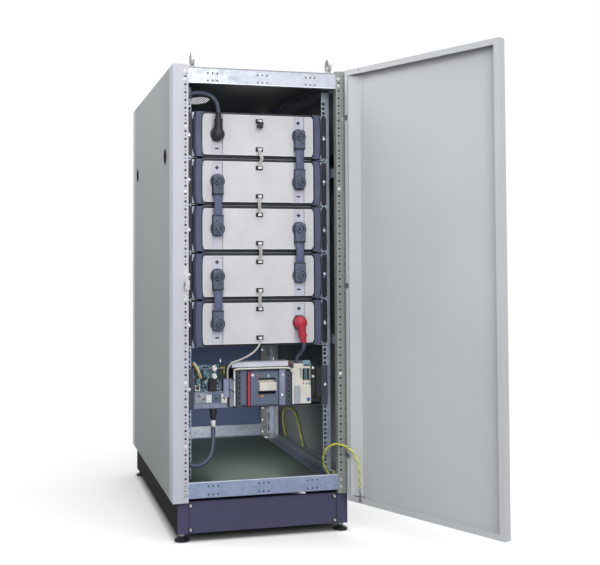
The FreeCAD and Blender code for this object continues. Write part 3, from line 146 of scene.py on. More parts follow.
# Hot-dip galvanised sheet: zinc crystals 8 to 15 mm across that catch light at different angles
def galvanised(name, dark, light, rough):
    material, tree, place = startFinish(name)
    crystals = addNode(tree, "ShaderNodeTexVoronoi", {"Scale": 85.0, "Randomness": 1.0}, {"Vector": place})
    grey = addNode(tree, "ShaderNodeSeparateColor", {}, {"Color": crystals.outputs["Color"]})
    both = calculate(tree, "ADD", calculate(tree, "MULTIPLY_ADD", grey.outputs["Red"], 0.35, 0.3),
                     noise(tree, place, 9.0, 4.0))
    endFinish(tree, {"Metallic": 0.55}, shades(tree, calculate(tree, "MULTIPLY", both, 0.5), [dark, light]),
              glossFrom(tree, grey.outputs["Green"], rough - 0.08, rough + 0.12))
    return material


# Zinc-plated steel of small hardware: bright, faintly streaked by the bath
def zincPlate(name, dark, light, rough):
    material, tree, place = startFinish(name)
    streak = noise(tree, place, 160.0, 3.0)
    endFinish(tree, {"Metallic": 0.9}, shades(tree, streak, [dark, light]),
              glossFrom(tree, streak, rough - 0.08, rough + 0.12))
    return material


# Injection-moulded plastic: spark-eroded grain under half a millimetre, slight cloudiness
def moulded(name, dark, light, rough, grain=900.0, depth=0.10):
    material, tree, place = startFinish(name)
    spark = noise(tree, place, grain)
    endFinish(tree, {}, shades(tree, noise(tree, place, 14.0), [dark, light]),
              glossFrom(tree, spark, rough - 0.05, rough + 0.08), raised(tree, spark, depth, 0.0003))
    return material


# Control board: teal solder mask crowded with small grey, white and dark parts 4 to 5 mm across
def circuitBoard(name):
    material, tree, place = startFinish(name)
    cells = addNode(tree, "ShaderNodeTexVoronoi", {"distance": "CHEBYCHEV", "Scale": 210.0, "Randomness": 0.85},
                    {"Vector": place})
    tone = addNode(tree, "ShaderNodeSeparateColor", {}, {"Color": cells.outputs["Color"]})
    colour = shades(tree, tone.outputs["Red"], ["#3C686E", "#2F5559", "#7A86A6", "#4C7A80", "#232A30", "#C9CDD8"],
                    (0.0, 0.3, 0.52, 0.68, 0.82, 0.93), "CONSTANT")
    endFinish(tree, {}, colour, glossFrom(tree, tone.outputs["Green"], 0.28, 0.45))
    return material


# Cable jacket: extruded PVC or rubber with fine drag lines along the run
def cableJacket(name, dark, light, rough):
    material, tree, place = startFinish(name)
    drag = noise(tree, place, 60.0, 4.0)
    endFinish(tree, {}, shades(tree, drag, [dark, light]), glossFrom(tree, drag, rough - 0.06, rough + 0.08),
              raised(tree, noise(tree, place, 700.0), 0.08, 0.0003))
    return material


# Earth wire: yellow PVC with two green stripes that wind round it
def earthJacket(name):
    material, tree, place = startFinish(name)
    uv = addNode(tree, "ShaderNodeUVMap", {"uv_map": "wrap"})
    parts = addNode(tree, "ShaderNodeSeparateXYZ", {}, {"Vector": uv.outputs["UV"]})
    band = calculate(tree, "GREATER_THAN", calculate(tree, "FRACT", parts.outputs["Y"]), 0.68)
    endFinish(tree, {}, shades(tree, band, ["#DDD24A", "#7BA23A"], (0.4, 0.6)),
              glossFrom(tree, noise(tree, place, 500.0), 0.38, 0.5))
    return material


finish = {
    "lightGreyPowderCoat": powderCoat("light_grey_powder_coat", "#BFC1BF", "#C6C8C7", 0.42),
    # The side panels take a darker copy of the light grey coat: painted shade on the cabinet's sides
    "sideCoatPaintedShade": powderCoat("side_coat_painted_shade", "#989C9D", "#A0A4A5", 0.6, 0.22),
    "doorPowderCoat": powderCoat("door_powder_coat", "#BABDC0", "#C1C4C7", 0.42),
    "roofPowderCoat": powderCoat("roof_powder_coat", "#8F9294", "#989B9D", 0.5),
    # The rear panel's blue-grey inside and the plinth's black sides are painted shade
    "rearCoatShadedInside": paintedShadeCoat("rear_coat_painted_shade_inside", "Y", 0.4996, "#64749A", "#A9ADAE", 0.4),
    "anthraciteCoatShadedSides": paintedShadeCoat("anthracite_coat_painted_shade_sides", "X", 0.2825, "#4C4C66", "#17171A", 0.2),
    "blackPaint": powderCoat("case_paint", "#14161E", "#1B1E28", 0.45),
    "galvanisedSheet": galvanised("galvanised_sheet", "#A9B1C0", "#D3D9E4", 0.42),
    # The top and bottom front rails take lit and shaded copies of one galvanised sheet: painted light on the top rail,
    # painted shade on the bottom rail
    "topRailLitCopy": galvanised("top_rail_zinc_lit_copy", "#AFB4C0", "#C4C8D3", 0.45),
    "shadedRail": galvanised("bottom_rail_zinc_shaded_copy", "#8C9ABA", "#ABB7D4", 0.42),
    "galvanisedRail": galvanised("galvanised_rack_rail", "#8E9BAA", "#B4C0CE", 0.45),
    "zincSteel": zincPlate("zinc_plated_steel", "#A9ACAF", "#D5D7DA", 0.32),
    "darkSheet": powderCoat("dark_chassis_sheet", "#3A3F4C", "#444A58", 0.5),
    "tinnedCopper": zincPlate("tinned_copper", "#B5AFA0", "#D9D4C8", 0.3),
    "brass": zincPlate("brass_lug", "#9C7B3A", "#C9A55A", 0.3),
    "creamPlate": moulded("module_front_abs", "#C8C8CC", "#D1D1D5", 0.42, 1100.0, 0.05),
    "recessShadePlastic": moulded("well_lining_painted_shade", "#8E9496", "#9DA3A5", 0.5),
    "bezelPlastic": moulded("bezel_abs", "#444C69", "#4E5672", 0.48),
    "bootPlastic": moulded("link_boot_tpe", "#4B5468", "#586278", 0.55),
    "strapRubber": cableJacket("link_strap_rubber", "#4A5474", "#5A6486", 0.5),
    "plugRubber": moulded("black_plug_epdm", "#171B21", "#242A32", 0.5),
    "redPlug": moulded("red_plug_tpe", "#B0263A", "#C4364A", 0.42),
    "greyCable": cableJacket("power_cable_pvc", "#3F4557", "#4F566B", 0.42),
    "dataCable": cableJacket("data_cable_pvc", "#A9A7A5", "#C2C0BD", 0.5),
    "blackPlastic": moulded("black_polyamide", "#14161A", "#202329", 0.5),
    "slatePlastic": moulded("breaker_polyester", "#566176", "#626E85", 0.45),
    "creamPlastic": moulded("cream_polycarbonate", "#CFCCC2", "#DEDBD2", 0.4),
    "greyPlastic": moulded("grey_polycarbonate", "#9BA1A9", "#AEB4BB", 0.45),
    "whiteNylon": moulded("white_nylon", "#DADBD8", "#E8E8E4", 0.42),
    "boardGreen": circuitBoard("board_solder_mask"),
    "combGreen": moulded("comb_solder_mask", "#4A6E78", "#5A808A", 0.35),
    "earthWire": earthJacket("earth_wire_pvc"),
    "signalRed": moulded("red_strip_pvc", "#C02A38", "#CE3B47", 0.4),
    "signalYellow": moulded("yellow_pvc", "#D0A92B", "#DDBB3C", 0.4),
    "signalGreen": moulded("green_pvc", "#2E7F52", "#3B8F60", 0.4),
    "signalMaroon": moulded("maroon_end_cap", "#5E2030", "#74293B", 0.45),
    "gasketRubber": moulded("gasket_rubber", "#1B1F2A", "#252A36", 0.6),
    "holeShadow": moulded("hole_shadow_paint", "#1D2026", "#282C33", 0.6),
    "lavenderSheet": galvanised("zinc_sheet_behind_bezel", "#A9AEC6", "#BFC4DA", 0.5),
    "greySheet": galvanised("zinc_sheet_seam", "#767D8C", "#8E95A4", 0.5),
    "lipHighlightPaint": galvanised("rail_lip_painted_highlight", "#E2E5EC", "#F4F6FA", 0.4),
    "floorShadeSheet": powderCoat("green_floor_painted_shade_sheet", "#56655C", "#64736A", 0.6),
    "channelShadePlastic": moulded("channel_lining_painted_shade", "#C0C1D0", "#CBCCDA", 0.45),
    "wellShade": moulded("well_ring_painted_shade", "#5A6670", "#68757E", 0.5),
    "plateHighlightWhite": moulded("module_front_painted_highlight", "#EDEDF4", "#F5F5FA", 0.4),
    "plugShell": zincPlate("nickel_plug_shell", "#C3C6CB", "#E2E4E8", 0.35),
    "postLeftCoat": powderCoat("left_post_powder_coat", "#BCBEC9", "#C3C5D0", 0.45),
    "chassisZinc": galvanised("chassis_zinc_sheet", "#7E86A0", "#9AA2BA", 0.5),
    "postRightCoat": powderCoat("right_post_powder_coat", "#868C88", "#939995", 0.45),
    "darkCable": cableJacket("plus_cable_pvc", "#39404F", "#485064", 0.42),
    "darkSteel": zincPlate("black_oxide_steel", "#23262E", "#343842", 0.4),
    "darkBoard": moulded("small_board_solder_mask", "#23402F", "#2F5340", 0.3),
    "blueNylon": moulded("blue_nylon", "#3E5AA8", "#5470B8", 0.45),
    "tealPlastic": moulded("teal_polycarbonate", "#5E8493", "#7CA0AE", 0.25),
    "ductPlastic": moulded("duct_pvc", "#C4C4D4", "#D6D6E2", 0.45),
}

dressNodes = {
    "lightGreyPowderCoat": ["uprights_rear"],
    "postLeftCoat": ["upright_front_left"],
    "postRightCoat": ["upright_front_right"],
    "sideCoatPaintedShade": ["side_panel_left", "side_panel_right"],
    "doorPowderCoat": ["door_pan", "door_stiffener"],
    "roofPowderCoat": ["roof_panel"],
    "rearCoatShadedInside": ["rear_panel"],
    "anthraciteCoatShadedSides": ["plinth_corners", "plinth_panels"],
    "blackPaint": ["battery_case_%d" % n for n in range(1, 6)] + ["battery_ears"],
    "topRailLitCopy": ["top_rail_front"],
    "shadedRail": ["bottom_rail_front"],
    "galvanisedSheet": ["frame_rails", "battery_cells"],
    "galvanisedRail": ["rack_rail_front_left", "rack_rail_front_right"],
    "zincSteel": ["lifting_eyes", "frame_fittings", "door_fittings", "frame_hinges", "latch_cam"],
    "darkSheet": ["chassis_tray", "chassis_ears"],
    "tinnedCopper": ["battery_terminals"],
    "creamPlate": ["battery_fronts"],
    "bezelPlastic": ["battery_bezels"],
    "bootPlastic": ["black_cable_heads"],
    "strapRubber": ["link_straps"],
    "redPlug": ["red_cable_head"],
    "greyCable": ["minus_cable", "plus_cable"],
    "dataCable": ["data_cables"],
    "blackPlastic": ["data_ports", "data_plugs", "terminal_blocks", "door_handle", "panel_lock_cups",
                     "panel_lock_left_front", "panel_lock_left_rear",
                     "panel_lock_right_front", "panel_lock_right_rear", "foot_front_left", "foot_front_right",
                     "foot_rear_left", "foot_rear_right"],
    "slatePlastic": ["breaker_body"],
    "creamPlastic": ["breaker_toggle", "contactor"],
    "greyPlastic": ["cable_duct"],
    "whiteNylon": ["button_upper", "button_lower"],
    "boardGreen": ["control_board"],
    "earthWire": ["earth_strap"],
}


def dress(thing, material):
    if not thing.material_slots:
        thing.data.materials.append(material)
    for spot in thing.material_slots:
        spot.material = material


for name, nodes in dressNodes.items():
    for node in nodes:
        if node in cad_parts:
            dress(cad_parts[node], finish[name])
print("finishes on the cabinet's nodes")


def clearSelection():
    if bpy.context.object and bpy.context.object.mode != "OBJECT":
        bpy.ops.object.mode_set(mode="OBJECT")
    bpy.ops.object.select_all(action="DESELECT")


def pick(piece):
    clearSelection()
    bpy.context.view_layer.objects.active = piece
    piece.select_set(True)


def editFaces(piece, test):
    pick(piece)
    for group in (piece.data.vertices, piece.data.edges):
        for item in group:
            item.select = False
    for face in piece.data.polygons:
        face.select = bool(test(face))
    bpy.ops.object.mode_set(mode="EDIT")
    bpy.ops.mesh.select_mode(type="FACE")


def editWhole(piece):
    pick(piece)
    bpy.ops.object.mode_set(mode="EDIT")
    bpy.ops.mesh.select_all(action="SELECT")


def change(piece, kind, settings):
    modifier = piece.modifiers.new("change", kind)
    for key, value in settings.items():
        setattr(modifier, key, value)
    pick(piece)
    bpy.ops.object.modifier_apply(modifier=modifier.name)
    return piece


def softEdges(piece, width, segments=2, angle=35):
    return change(piece, "BEVEL", {"width": width / 1000, "segments": segments, "limit_method": "ANGLE",
                                   "angle_limit": math.radians(angle)})


def smooth(piece, angle):
    pick(piece)
    bpy.ops.object.shade_smooth_by_angle(angle=math.radians(angle))
    return piece


def cutAway(piece, cutter):
    change(piece, "BOOLEAN", {"operation": "DIFFERENCE", "solver": "EXACT", "object": cutter})
    bpy.data.objects.remove(cutter)
    return piece


def repeated(piece, count, step):
    return change(piece, "ARRAY", {"count": count, "use_relative_offset": False, "use_constant_offset": True,
                                   "constant_offset_displace": [v / 1000 for v in step]})


def slab(x0, x1, y0, y1, z0, z1, edge=0.6, segments=2):
    clearSelection()
    pairs = [sorted((a / 1000, b / 1000)) for a, b in ((x0, x1), (y0, y1), (z0, z1))]
    bpy.ops.mesh.primitive_cube_add(size=1, location=[(low + high) / 2 for low, high in pairs])
    piece = bpy.context.object
    piece.scale = [high - low for low, high in pairs]
    bpy.ops.object.transform_apply(location=True, rotation=False, scale=True)
    return softEdges(piece, edge, segments) if edge else piece


def flatDot(centre, radius, depth):
    clearSelection()
    bpy.ops.mesh.primitive_cylinder_add(vertices=10, radius=radius / 1000, depth=depth / 1000,
                                        location=[v / 1000 for v in centre], rotation=(math.pi / 2, 0, 0))
    bpy.ops.object.transform_apply(location=True, rotation=True, scale=True)
    return smooth(softEdges(bpy.context.object, 0.1), 40)


# A turned shape: a disc at the foot, drawn out step by step to each (distance, radius)
def turned(foot, profile, corners=32, way=(0, -1, 0)):
    clearSelection()
    out = Vector(way)
    turn = Vector((0, 0, 1)).rotation_difference(out).to_euler()
    bpy.ops.mesh.primitive_circle_add(vertices=corners, radius=profile[0][1] / 1000, fill_type="NGON",
                                      location=[v / 1000 for v in foot], rotation=turn)
    piece = bpy.context.object
    bpy.ops.object.transform_apply(location=True, rotation=True, scale=True)
    editWhole(piece)
    for (near, narrow), (far, wide) in zip(profile, profile[1:]):
        bpy.ops.mesh.extrude_region_move(TRANSFORM_OT_translate={"value": out * ((far - near) / 1000)})
        middle = (Vector(foot) + out * far) / 1000
        bpy.ops.transform.resize(value=[wide / narrow] * 3, center_override=middle)
    bpy.ops.mesh.select_all(action="SELECT")
    bpy.ops.mesh.normals_make_consistent(inside=False)
    bpy.ops.object.mode_set(mode="OBJECT")
    return smooth(piece, 50)


def sunk(piece, inset, depth):
    far = min(face.center.y for face in piece.data.polygons)
    editFaces(piece, lambda face: face.normal.y < -0.9 and face.center.y < far + 0.0003)
    bpy.ops.mesh.inset(thickness=inset / 1000, depth=-depth / 1000)
    bpy.ops.object.mode_set(mode="OBJECT")
    return piece


def spun(piece, degrees, centre):
    spot = Vector(centre) / 1000
    turn = Matrix.Rotation(math.radians(degrees), 4, "Y")
    piece.data.transform(Matrix.Translation(spot) @ turn @ Matrix.Translation(-spot))
    return piece


def copyTo(piece, spot):
    other = piece.copy()
    other.data = piece.data.copy()
    bpy.context.scene.collection.objects.link(other)
    other.data.transform(Matrix.Translation(Vector(spot) / 1000))
    return other


# Copies of a piece made at the origin, one at each spot; the piece itself goes
def spread(piece, spots):
    pieces = [copyTo(piece, spot) for spot in spots]
    bpy.data.objects.remove(piece)
    return pieces


def join(pieces):
    clearSelection()
    for piece in pieces:
        piece.select_set(True)
    bpy.context.view_layer.objects.active = pieces[0]
    if len(pieces) > 1:
        bpy.ops.object.join()
    return pieces[0]


def gather(pieces, name, tone, body="cabinet", stands=()):
    piece = join(pieces)
    piece.name = name
    dress(piece, finish[tone])
    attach(piece, body)
    if stands:
        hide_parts(*stands)
    return piece


# Paper under the cabinet: white to the eye further out; below the open bottom it is painted grey, a painted shade
paper = {"half": 9.0, "whiteFrom": 0.8, "whiteTo": 2.2, "nearWhite": 0.12, "reach": (("X", 0.29), ("Y", 0.49))}


def layFloor():
    clearSelection()
    bpy.ops.mesh.primitive_grid_add(x_subdivisions=8, y_subdivisions=8, size=2 * paper["half"], location=(0, 0, 0))
    floor = bpy.context.object
    floor.name = "floor"
    material, tree, place = startFinish("floor_paper")
    away = addNode(tree, "ShaderNodeVectorMath", {"operation": "LENGTH"}, {0: place})
    fade = addNode(tree, "ShaderNodeMapRange", {"From Min": paper["whiteFrom"], "From Max": paper["whiteTo"],
                                                "To Min": paper["nearWhite"], "To Max": 1.0},
                   {"Value": away.outputs["Value"]})
    across = addNode(tree, "ShaderNodeSeparateXYZ", {}, {"Vector": place})
    edges = [addNode(tree, "ShaderNodeMapRange", {"From Min": reach - 0.02, "From Max": reach + 0.01},
                     {"Value": calculate(tree, "ABSOLUTE", across.outputs[side])}).outputs["Result"]
             for side, reach in paper["reach"]]
    outside = calculate(tree, "MAXIMUM", *edges)
    ray = addNode(tree, "ShaderNodeLightPath")
    eye = calculate(tree, "MAXIMUM", ray.outputs["Is Camera Ray"], ray.outputs["Is Glossy Ray"])
    shown = calculate(tree, "MULTIPLY", calculate(tree, "MULTIPLY", fade.outputs["Result"], eye), outside)
    # Paper looks white to the eye outside the cabinet's footprint and is painted grey inside it, a painted shade;
    # it sends little light back up under the cabinet's sides
    tone = calculate(tree, "MULTIPLY", outside, ray.outputs["Is Camera Ray"])
    matt = addNode(tree, "ShaderNodeBsdfDiffuse", {},
                   {"Color": shades(tree, tone, ["#8A8C8C", "#FFFFFF"], (0.0, 1.0))})
    white = addNode(tree, "ShaderNodeEmission", {"Color": (1, 1, 1, 1), "Strength": 1.0})
    both = addNode(tree, "ShaderNodeMixShader", {},
                   {0: shown, 1: matt.outputs["BSDF"], 2: white.outputs["Emission"]})
    addNode(tree, "ShaderNodeOutputMaterial", {}, {"Surface": both.outputs["Shader"]})
    dress(floor, material)


# Each lamp: where it hangs, where it points, its width in metres, its watts and its spread in degrees
lamps = {
    "keyLamp": ((-0.3, -4.9, 2.7), (0.1, -0.4, 0.7), 2.6, 112, 180),
    "topLamp": ((1.1, -0.8, 4.0), (0.1, 0, 0), 3.0, 75, 180),
    "doorLamp": ((-2.6, -2.2, 1.8), (0.4, -0.8, 0.9), 1.8, 9, 180),
    "sideLamp": ((-2.5, 0.2, 2.7), (-0.3, 0.0, 1.55), 0.9, 4.2, 60),
    "insideLamp": ((0.0, -0.30, 0.27), (0.05, 0.45, 0.12), 0.25, 0.6, 95),
    "upperLamp": ((0.05, -0.38, 1.44), (0.0, 0.45, 1.40), 0.2, 0.15, 90),
}


def hangLights():
    world = bpy.data.worlds.new("studio")
    bpy.context.scene.world = world
    world.use_nodes = True
    tree = world.node_tree
    tree.nodes.clear()
    ray = addNode(tree, "ShaderNodeLightPath")
    seen = calculate(tree, "MAXIMUM", ray.outputs["Is Camera Ray"], ray.outputs["Is Transmission Ray"])
    # More light from above than from the sides, as under a soft box
    way = addNode(tree, "ShaderNodeTexCoord")
    parts = addNode(tree, "ShaderNodeSeparateXYZ", {}, {"Vector": way.outputs["Generated"]})
    above = addNode(tree, "ShaderNodeMapRange", {"From Min": -0.3, "From Max": 1.0, "To Min": 0.34, "To Max": 0.98},
                    {"Value": parts.outputs["Z"]})
    strength = addNode(tree, "ShaderNodeMapRange", {"To Max": 1.0}, {"Value": seen, "To Min": above.outputs["Result"]})
    sky = addNode(tree, "ShaderNodeBackground", {"Color": (1, 1, 1, 1)}, {"Strength": strength.outputs["Result"]})
    addNode(tree, "ShaderNodeOutputWorld", {}, {"Surface": sky.outputs["Background"]})
    for name, (at, to, size, power, cone) in lamps.items():
        data = bpy.data.lights.new(name, "AREA")
        data.size = size
        data.energy = power
        data.spread = math.radians(cone)
        lamp = bpy.data.objects.new(name, data)
        bpy.context.scene.collection.objects.link(lamp)
        lamp.visible_camera = False
        lamp.location = at
        lamp.rotation_euler = (Vector(to) - Vector(at)).to_track_quat("-Z", "Y").to_euler()


# The camera fitted to the photo: metres, degrees, and pixels of a picture 600 wide and 565 high
camera = {"at": (-0.7888, -3.3993, 0.8872), "yaw": 13.71, "pitch": 2.13, "roll": 0.15, "focal": 927.65,
          "centre": (240.0, 225.93), "wide": 600, "high": 565, "sensor": 36}


def standCamera():
    facts = camera
    data = bpy.data.cameras.new("photoCamera")
    data.sensor_fit = "HORIZONTAL"
    data.sensor_width = facts["sensor"]
    data.lens = facts["focal"] * facts["sensor"] / facts["wide"]
    data.shift_x = (facts["wide"] / 2 - facts["centre"][0]) / facts["wide"]
    data.shift_y = (facts["centre"][1] - facts["high"] / 2) / facts["wide"]
    photoCamera = bpy.data.objects.new("photoCamera", data)
    bpy.context.scene.collection.objects.link(photoCamera)
    photoCamera.location = facts["at"]
    photoCamera.rotation_euler = [math.radians(turn) for turn in (90 + facts["pitch"], facts["roll"], -facts["yaw"])]
    bpy.context.scene.camera = photoCamera


layFloor()
hangLights()
standCamera()
bpy.context.scene.view_settings.view_transform = "Standard"
print("floor, light and camera")


def linePoints(route):
    line = bpy.data.curves.new("line", "CURVE")
    line.dimensions = "3D"
    spline = line.splines.new("NURBS")
    spline.points.add(len(route) - 1)
    for point, spot in zip(spline.points, route):
        point.co = (*spot, 1.0)
    spline.order_u = 3
    spline.use_endpoint_u = True
    spline.resolution_u = 8
    holder = bpy.data.objects.new("lineHolder", line)
    bpy.context.scene.collection.objects.link(holder)
    mesh = bpy.data.meshes.new_from_object(holder)
    points = [vertex.co.copy() for vertex in mesh.vertices]
    bpy.data.objects.remove(holder)
    return points


# Rings of a tube along the points, with a UV map whose V winds once in each turnLength
def wrapTube(points, radius, turnLength=0.05, corners=14):
    vertices, faces, coordinates, distances = [], [], [], [0.0]
    side = (points[1] - points[0]).orthogonal().normalized()
    for i, point in enumerate(points):
        ahead = (points[min(i + 1, len(points) - 1)] - points[max(i - 1, 0)]).normalized()
        side = (side - ahead * side.dot(ahead)).normalized()
        other = ahead.cross(side)
        if i:
            distances.append(distances[-1] + (point - points[i - 1]).length)
        for k in range(corners):
            angle = 2 * math.pi * k / corners
            vertices.append(point + radius * (side * math.cos(angle) + other * math.sin(angle)))
    for i in range(len(points) - 1):
        for k in range(corners):
            a, b = i * corners + k, i * corners + (k + 1) % corners
            faces.append((a, b, b + corners, a + corners))
            for ring, step in ((i, k), (i, k + 1), (i + 1, k + 1), (i + 1, k)):
                coordinates.append((distances[ring], step / corners * 2 + distances[ring] / turnLength))
    last = (len(points) - 1) * corners
    faces += [tuple(reversed(range(corners))), tuple(range(last, last + corners))]
    coordinates += [(0, 0)] * (2 * corners)
    mesh = bpy.data.meshes.new("tube")
    mesh.from_pydata(vertices, [], faces)
    for corner, spot in zip(mesh.uv_layers.new(name="wrap").data, coordinates):
        corner.uv = spot
    for face in mesh.polygons:
        face.use_smooth = len(face.vertices) == 4
    piece = bpy.data.objects.new("tube", mesh)
    bpy.context.scene.collection.objects.link(piece)
    return piece


sides = (-1, 1)
postX, postFace, plinthX, plinthFace, rackX = 258.5, -497.0, 240.0, -483.0, 232.55

# Turned heads that look to the front: finish, corners, profile of (distance, radius), and spots
heads = {
    "holeCaps": ("whiteNylon", 18, [(0, 5.2), (0.8, 5.2), (1.5, 4.0)],
                 [(-postX, postFace, z) for z in (300, 500, 1107, 1315)] + [(postX, postFace, z) for z in (515, 1123)]),
    "postScrews": ("zincSteel", 18, [(0, 6.0), (0.8, 6.0), (1.0, 4.6), (3.0, 4.2), (3.6, 3.0)],
                   [(side * postX, postFace, z) for side in sides for z in (147, 170, 1467, 1490)]),
    "rackScrewHeads": ("plugShell", 20, [(0, 6.6), (1.4, 6.4), (3.2, 5.0), (3.6, 3.0)],
                       [(side * rackX, -419.6, z) for side in (1, -1)
                        for z in (1297.60, 1151.55, 986.45, 840.40, 675.30, 468.93)]),
    "plinthWashers": ("blackPlastic", 20, [(0, 8.5), (0.8, 8.5), (1.4, 7.3)],
                      [(side * plinthX, plinthFace, z) for z in (37, 113) for side in sides]),
    "plinthScrewHeads": ("zincSteel", 18, [(0, 5.2), (1.6, 5.0), (2.8, 3.6)],
                         [(side * plinthX, plinthFace - 1.4, z) for z in (37, 113) for side in sides]),
    # The wells' grey linings are darkened as painted shade in the recess, and the dark rings inside them are painted
    # shade
    "recessShadeLinings": ("recessShadePlastic", 40, [(0, 24.6), (0.5, 24.6), (0.6, 15.0), (2.2, 14.6), (2.3, 13.6)],
                    [(x, -420, z) for x, y, z in terminals]),
    "recessShadeRings": ("wellShade", 40, [(0, 22.4), (0.5, 22.4), (0.6, 18.6)], [(x, -422.3, z) for x, y, z in terminals]),
    "busScrews": ("zincSteel", 18, [(0, 5.4), (1.6, 5.2), (2.4, 3.8)], [(85, -420.2, 505), (82, -420.2, 439)]),
    "clampScrews": ("darkSteel", 14, [(0, 3.1), (1.2, 3.1), (1.4, 2.2)],
                    [(x, y, 417.06 + 17 * n) for x, y in ((-66, -414.2), (104.5, -412.4)) for n in range(7)]),
    "contactorScrew": ("blueNylon", 24, [(0, 6.8), (1.0, 6.6), (1.8, 5.2), (1.0, 4.6), (1.2, 2.0)],
                       [(169.5, -428.6, 424)]),
    "signalLamp": ("signalRed", 20, [(0, 3.6), (1.6, 3.4), (2.8, 2.0)], [(152.5, -424.8, 478)]),
    "clampStuds": ("whiteNylon", 20, [(0, 4.6), (3, 4.4), (4.2, 3.0)], [(187.5, -422.5, z) for z in (527, 499)]),
    "clampLever": ("darkSteel", 20, [(0, 5.2), (2, 5.0), (3, 3.6)], [(190, -421, 433)]),
    "buttonCollars": ("zincSteel", 28, [(0, 9.6), (1.6, 9.4), (2.2, 8.2), (2.2, 7.2), (0.6, 7.0)],
                      [(-146, -405.4, z) for z in (507.133, 532.956)]),
}
# The hexagon sockets of two of them: rim and depth
sockets = {"postScrews": (0.6, 1.2), "plinthScrewHeads": (0.7, 1.0)}


def fitHeads():
    for name, (tone, corners, profile, spots) in heads.items():
        head = turned((0, 0, 0), profile, corners)
        if name in sockets:
            sunk(head, *sockets[name])
        gather(spread(head, spots), name, tone)
    print("screw heads, caps and rings")


# Pieces of plain slabs: finish, edge, rounding steps, and each slab as its two x, two y and two z
plates = {
    # Dark strips behind the posts' flanges, seen only through their holes: painted shade
    "holeShadowBacks": ("holeShadow", 0.1, 1, [(side * 251.5, side * 264, -494.9, -494.3, 152, 1488) for side in sides]),
    # A dark green-grey sheet over the open bottom, coloured as the green floor there in its shade: painted shade
    "floorShadeSheet": ("floorShadeSheet", 0.4, 1, [(-246, 246, -454, 454, 139.5, 141),
                                            (-246, 246, -454.6, -452.6, 139.5, 158)]),
    "plinthSeams": ("gasketRubber", 0.2, 1, [(side * 245.2, side * 247.4, -484.3, -483.6, 27, 123) for side in sides]),
    "plinthFold": ("anthraciteCoatShadedSides", 0.3, 1, [(-240, 240, -483.8, -482.4, 119.5, 121)]),
    "boardPlate": ("chassisZinc", 0.4, 2, [(-219, -96, -392.5, -391.2, 405, 533.5),
                                           (-219, -96, -412, -392.5, 532.1, 533.5),
                                           (-219, -96, -414, -392.5, 405, 406.4)]),
    "boardSkirt": ("chassisZinc", 0.4, 2, [(-216, -104, -416.5, -415, 456.5, 459.5),
                                           (-216, -96, -413.5, -412, 404.5, 457)]),
    "breakerStripe": ("signalRed", 0.8, 2, [(-36.6, -30.2, -424.4, -419.4, 408, 521)]),
    "smallBoard": ("darkBoard", 0.3, 2, [(-131, -101, -411, -409.6, 494, 541)]),
    "smallParts": ("blackPlastic", 0.4, 2, [(-127, -111, -417, -410, 500, 512), (-126, -118, -416, -410, 517, 532),
                                            (-110, -103, -420, -410, 497, 538)]),
    "smallStrips": ("brass", 0.4, 2, [(-128, -112, -413.5, -410, 534, 537), (-117, -113, -413.5, -410, 516, 529)]),
    "connectorFins": ("blackPlastic", 0.5, 2, [(-163, -142.5, -421.2, -419.5, 463.5 + 5.4 * n, 466.5 + 5.4 * n)
                                               for n in range(7)]),
    "clampCap": ("tealPlastic", 2.6, 3, [(150.5, 178, -427, -412, 531, 553)]),
    "coilBlocks": ("blackPlastic", 0.8, 2, [(150.5, 156, -424, -418, 486, 527), (167, 178.6, -425.5, -418, 484, 530),
                                            (142.5, 178, -425, -418, 470.5, 482)]),
    "coilKeys": ("tealPlastic", 0.8, 2, [(x, x + 6, -427.5, -424, 473.5, 480) for x in (160, 169)]),
}


def fitPlates():
    for name, (tone, edge, steps, rows) in plates.items():
        gather([slab(*row, edge, steps) for row in rows], name, tone)
    print("plain plates and blocks")


# Frame: dark dots and squares painted as the shade in holes of posts and rails, and a painted highlight on the rails'
# lips
framing = {"pitch": 25.0, "firstDot": 162.5, "dots": 54, "stripX": 274.5, "dotSpread": 15.5,
           "railDotsX": (-169.5, -3.5, 160.0), "railDotsZ": (147, 173, 1466, 1490), "squares": 34}


def fitFrameDetails():
    facts = framing
    step = (0, 0, facts["pitch"])
    dots = [repeated(flatDot((side * postX, postFace - 0.15, facts["firstDot"]), 2.0, 0.5), facts["dots"], step)
            for side in sides]
    edge = flatDot((facts["stripX"], -500.15, facts["firstDot"] - facts["pitch"] / 2), 1.6, 0.4)
    gather(dots + [repeated(edge, facts["dots"] + 1, step)], "systemDots", "holeShadow")
    spots = [(x + way * facts["dotSpread"], 0, z) for x in facts["railDotsX"] for way in (-1, 0, 1)
             for z in facts["railDotsZ"]]
    gather(spread(flatDot((0, -495.1, 0), 2.9, 0.5), spots), "railDots", "holeShadow")
    square = repeated(slab(-4.5, 4.5, -421, -412, 179.9, 180.25, 0.1, 1), facts["squares"], (0, facts["pitch"], 0))
    gather(spread(square, [(side * 270.5, 0, 0) for side in (1, -1)]), "sideRailHoles", "holeShadow")
    # Pale strips along the rails' top lips are a painted highlight
    gather([slab(-248.5, 248.5, -495.7, -492, 184.6, 186.8, 0.4),
            slab(-248.5, 248.5, -495.5, -494.2, 1457.4, 1459.2, 0.3)], "railLipHighlights", "lipHighlightPaint")
    print("frame details")


# Battery modules: wells, pole marks as (kind, side, module, above or below), port shields, seams and shelves
module = {
    "front": -430.0, "channel": -422.6, "portX": 2.0, "markRise": 46.0, "markHalf": 6.5, "markThin": 2.5,
    "marks": (("minus", -1, 0, -1), ("plus", 1, 0, 1), ("plus", -1, 1, 1), ("minus", 1, 1, -1), ("plus", 1, 2, 1),
              ("plus", -1, 3, 1), ("minus", 1, 3, -1), ("minus", -1, 4, -1), ("plus", 1, 4, 1)),
}


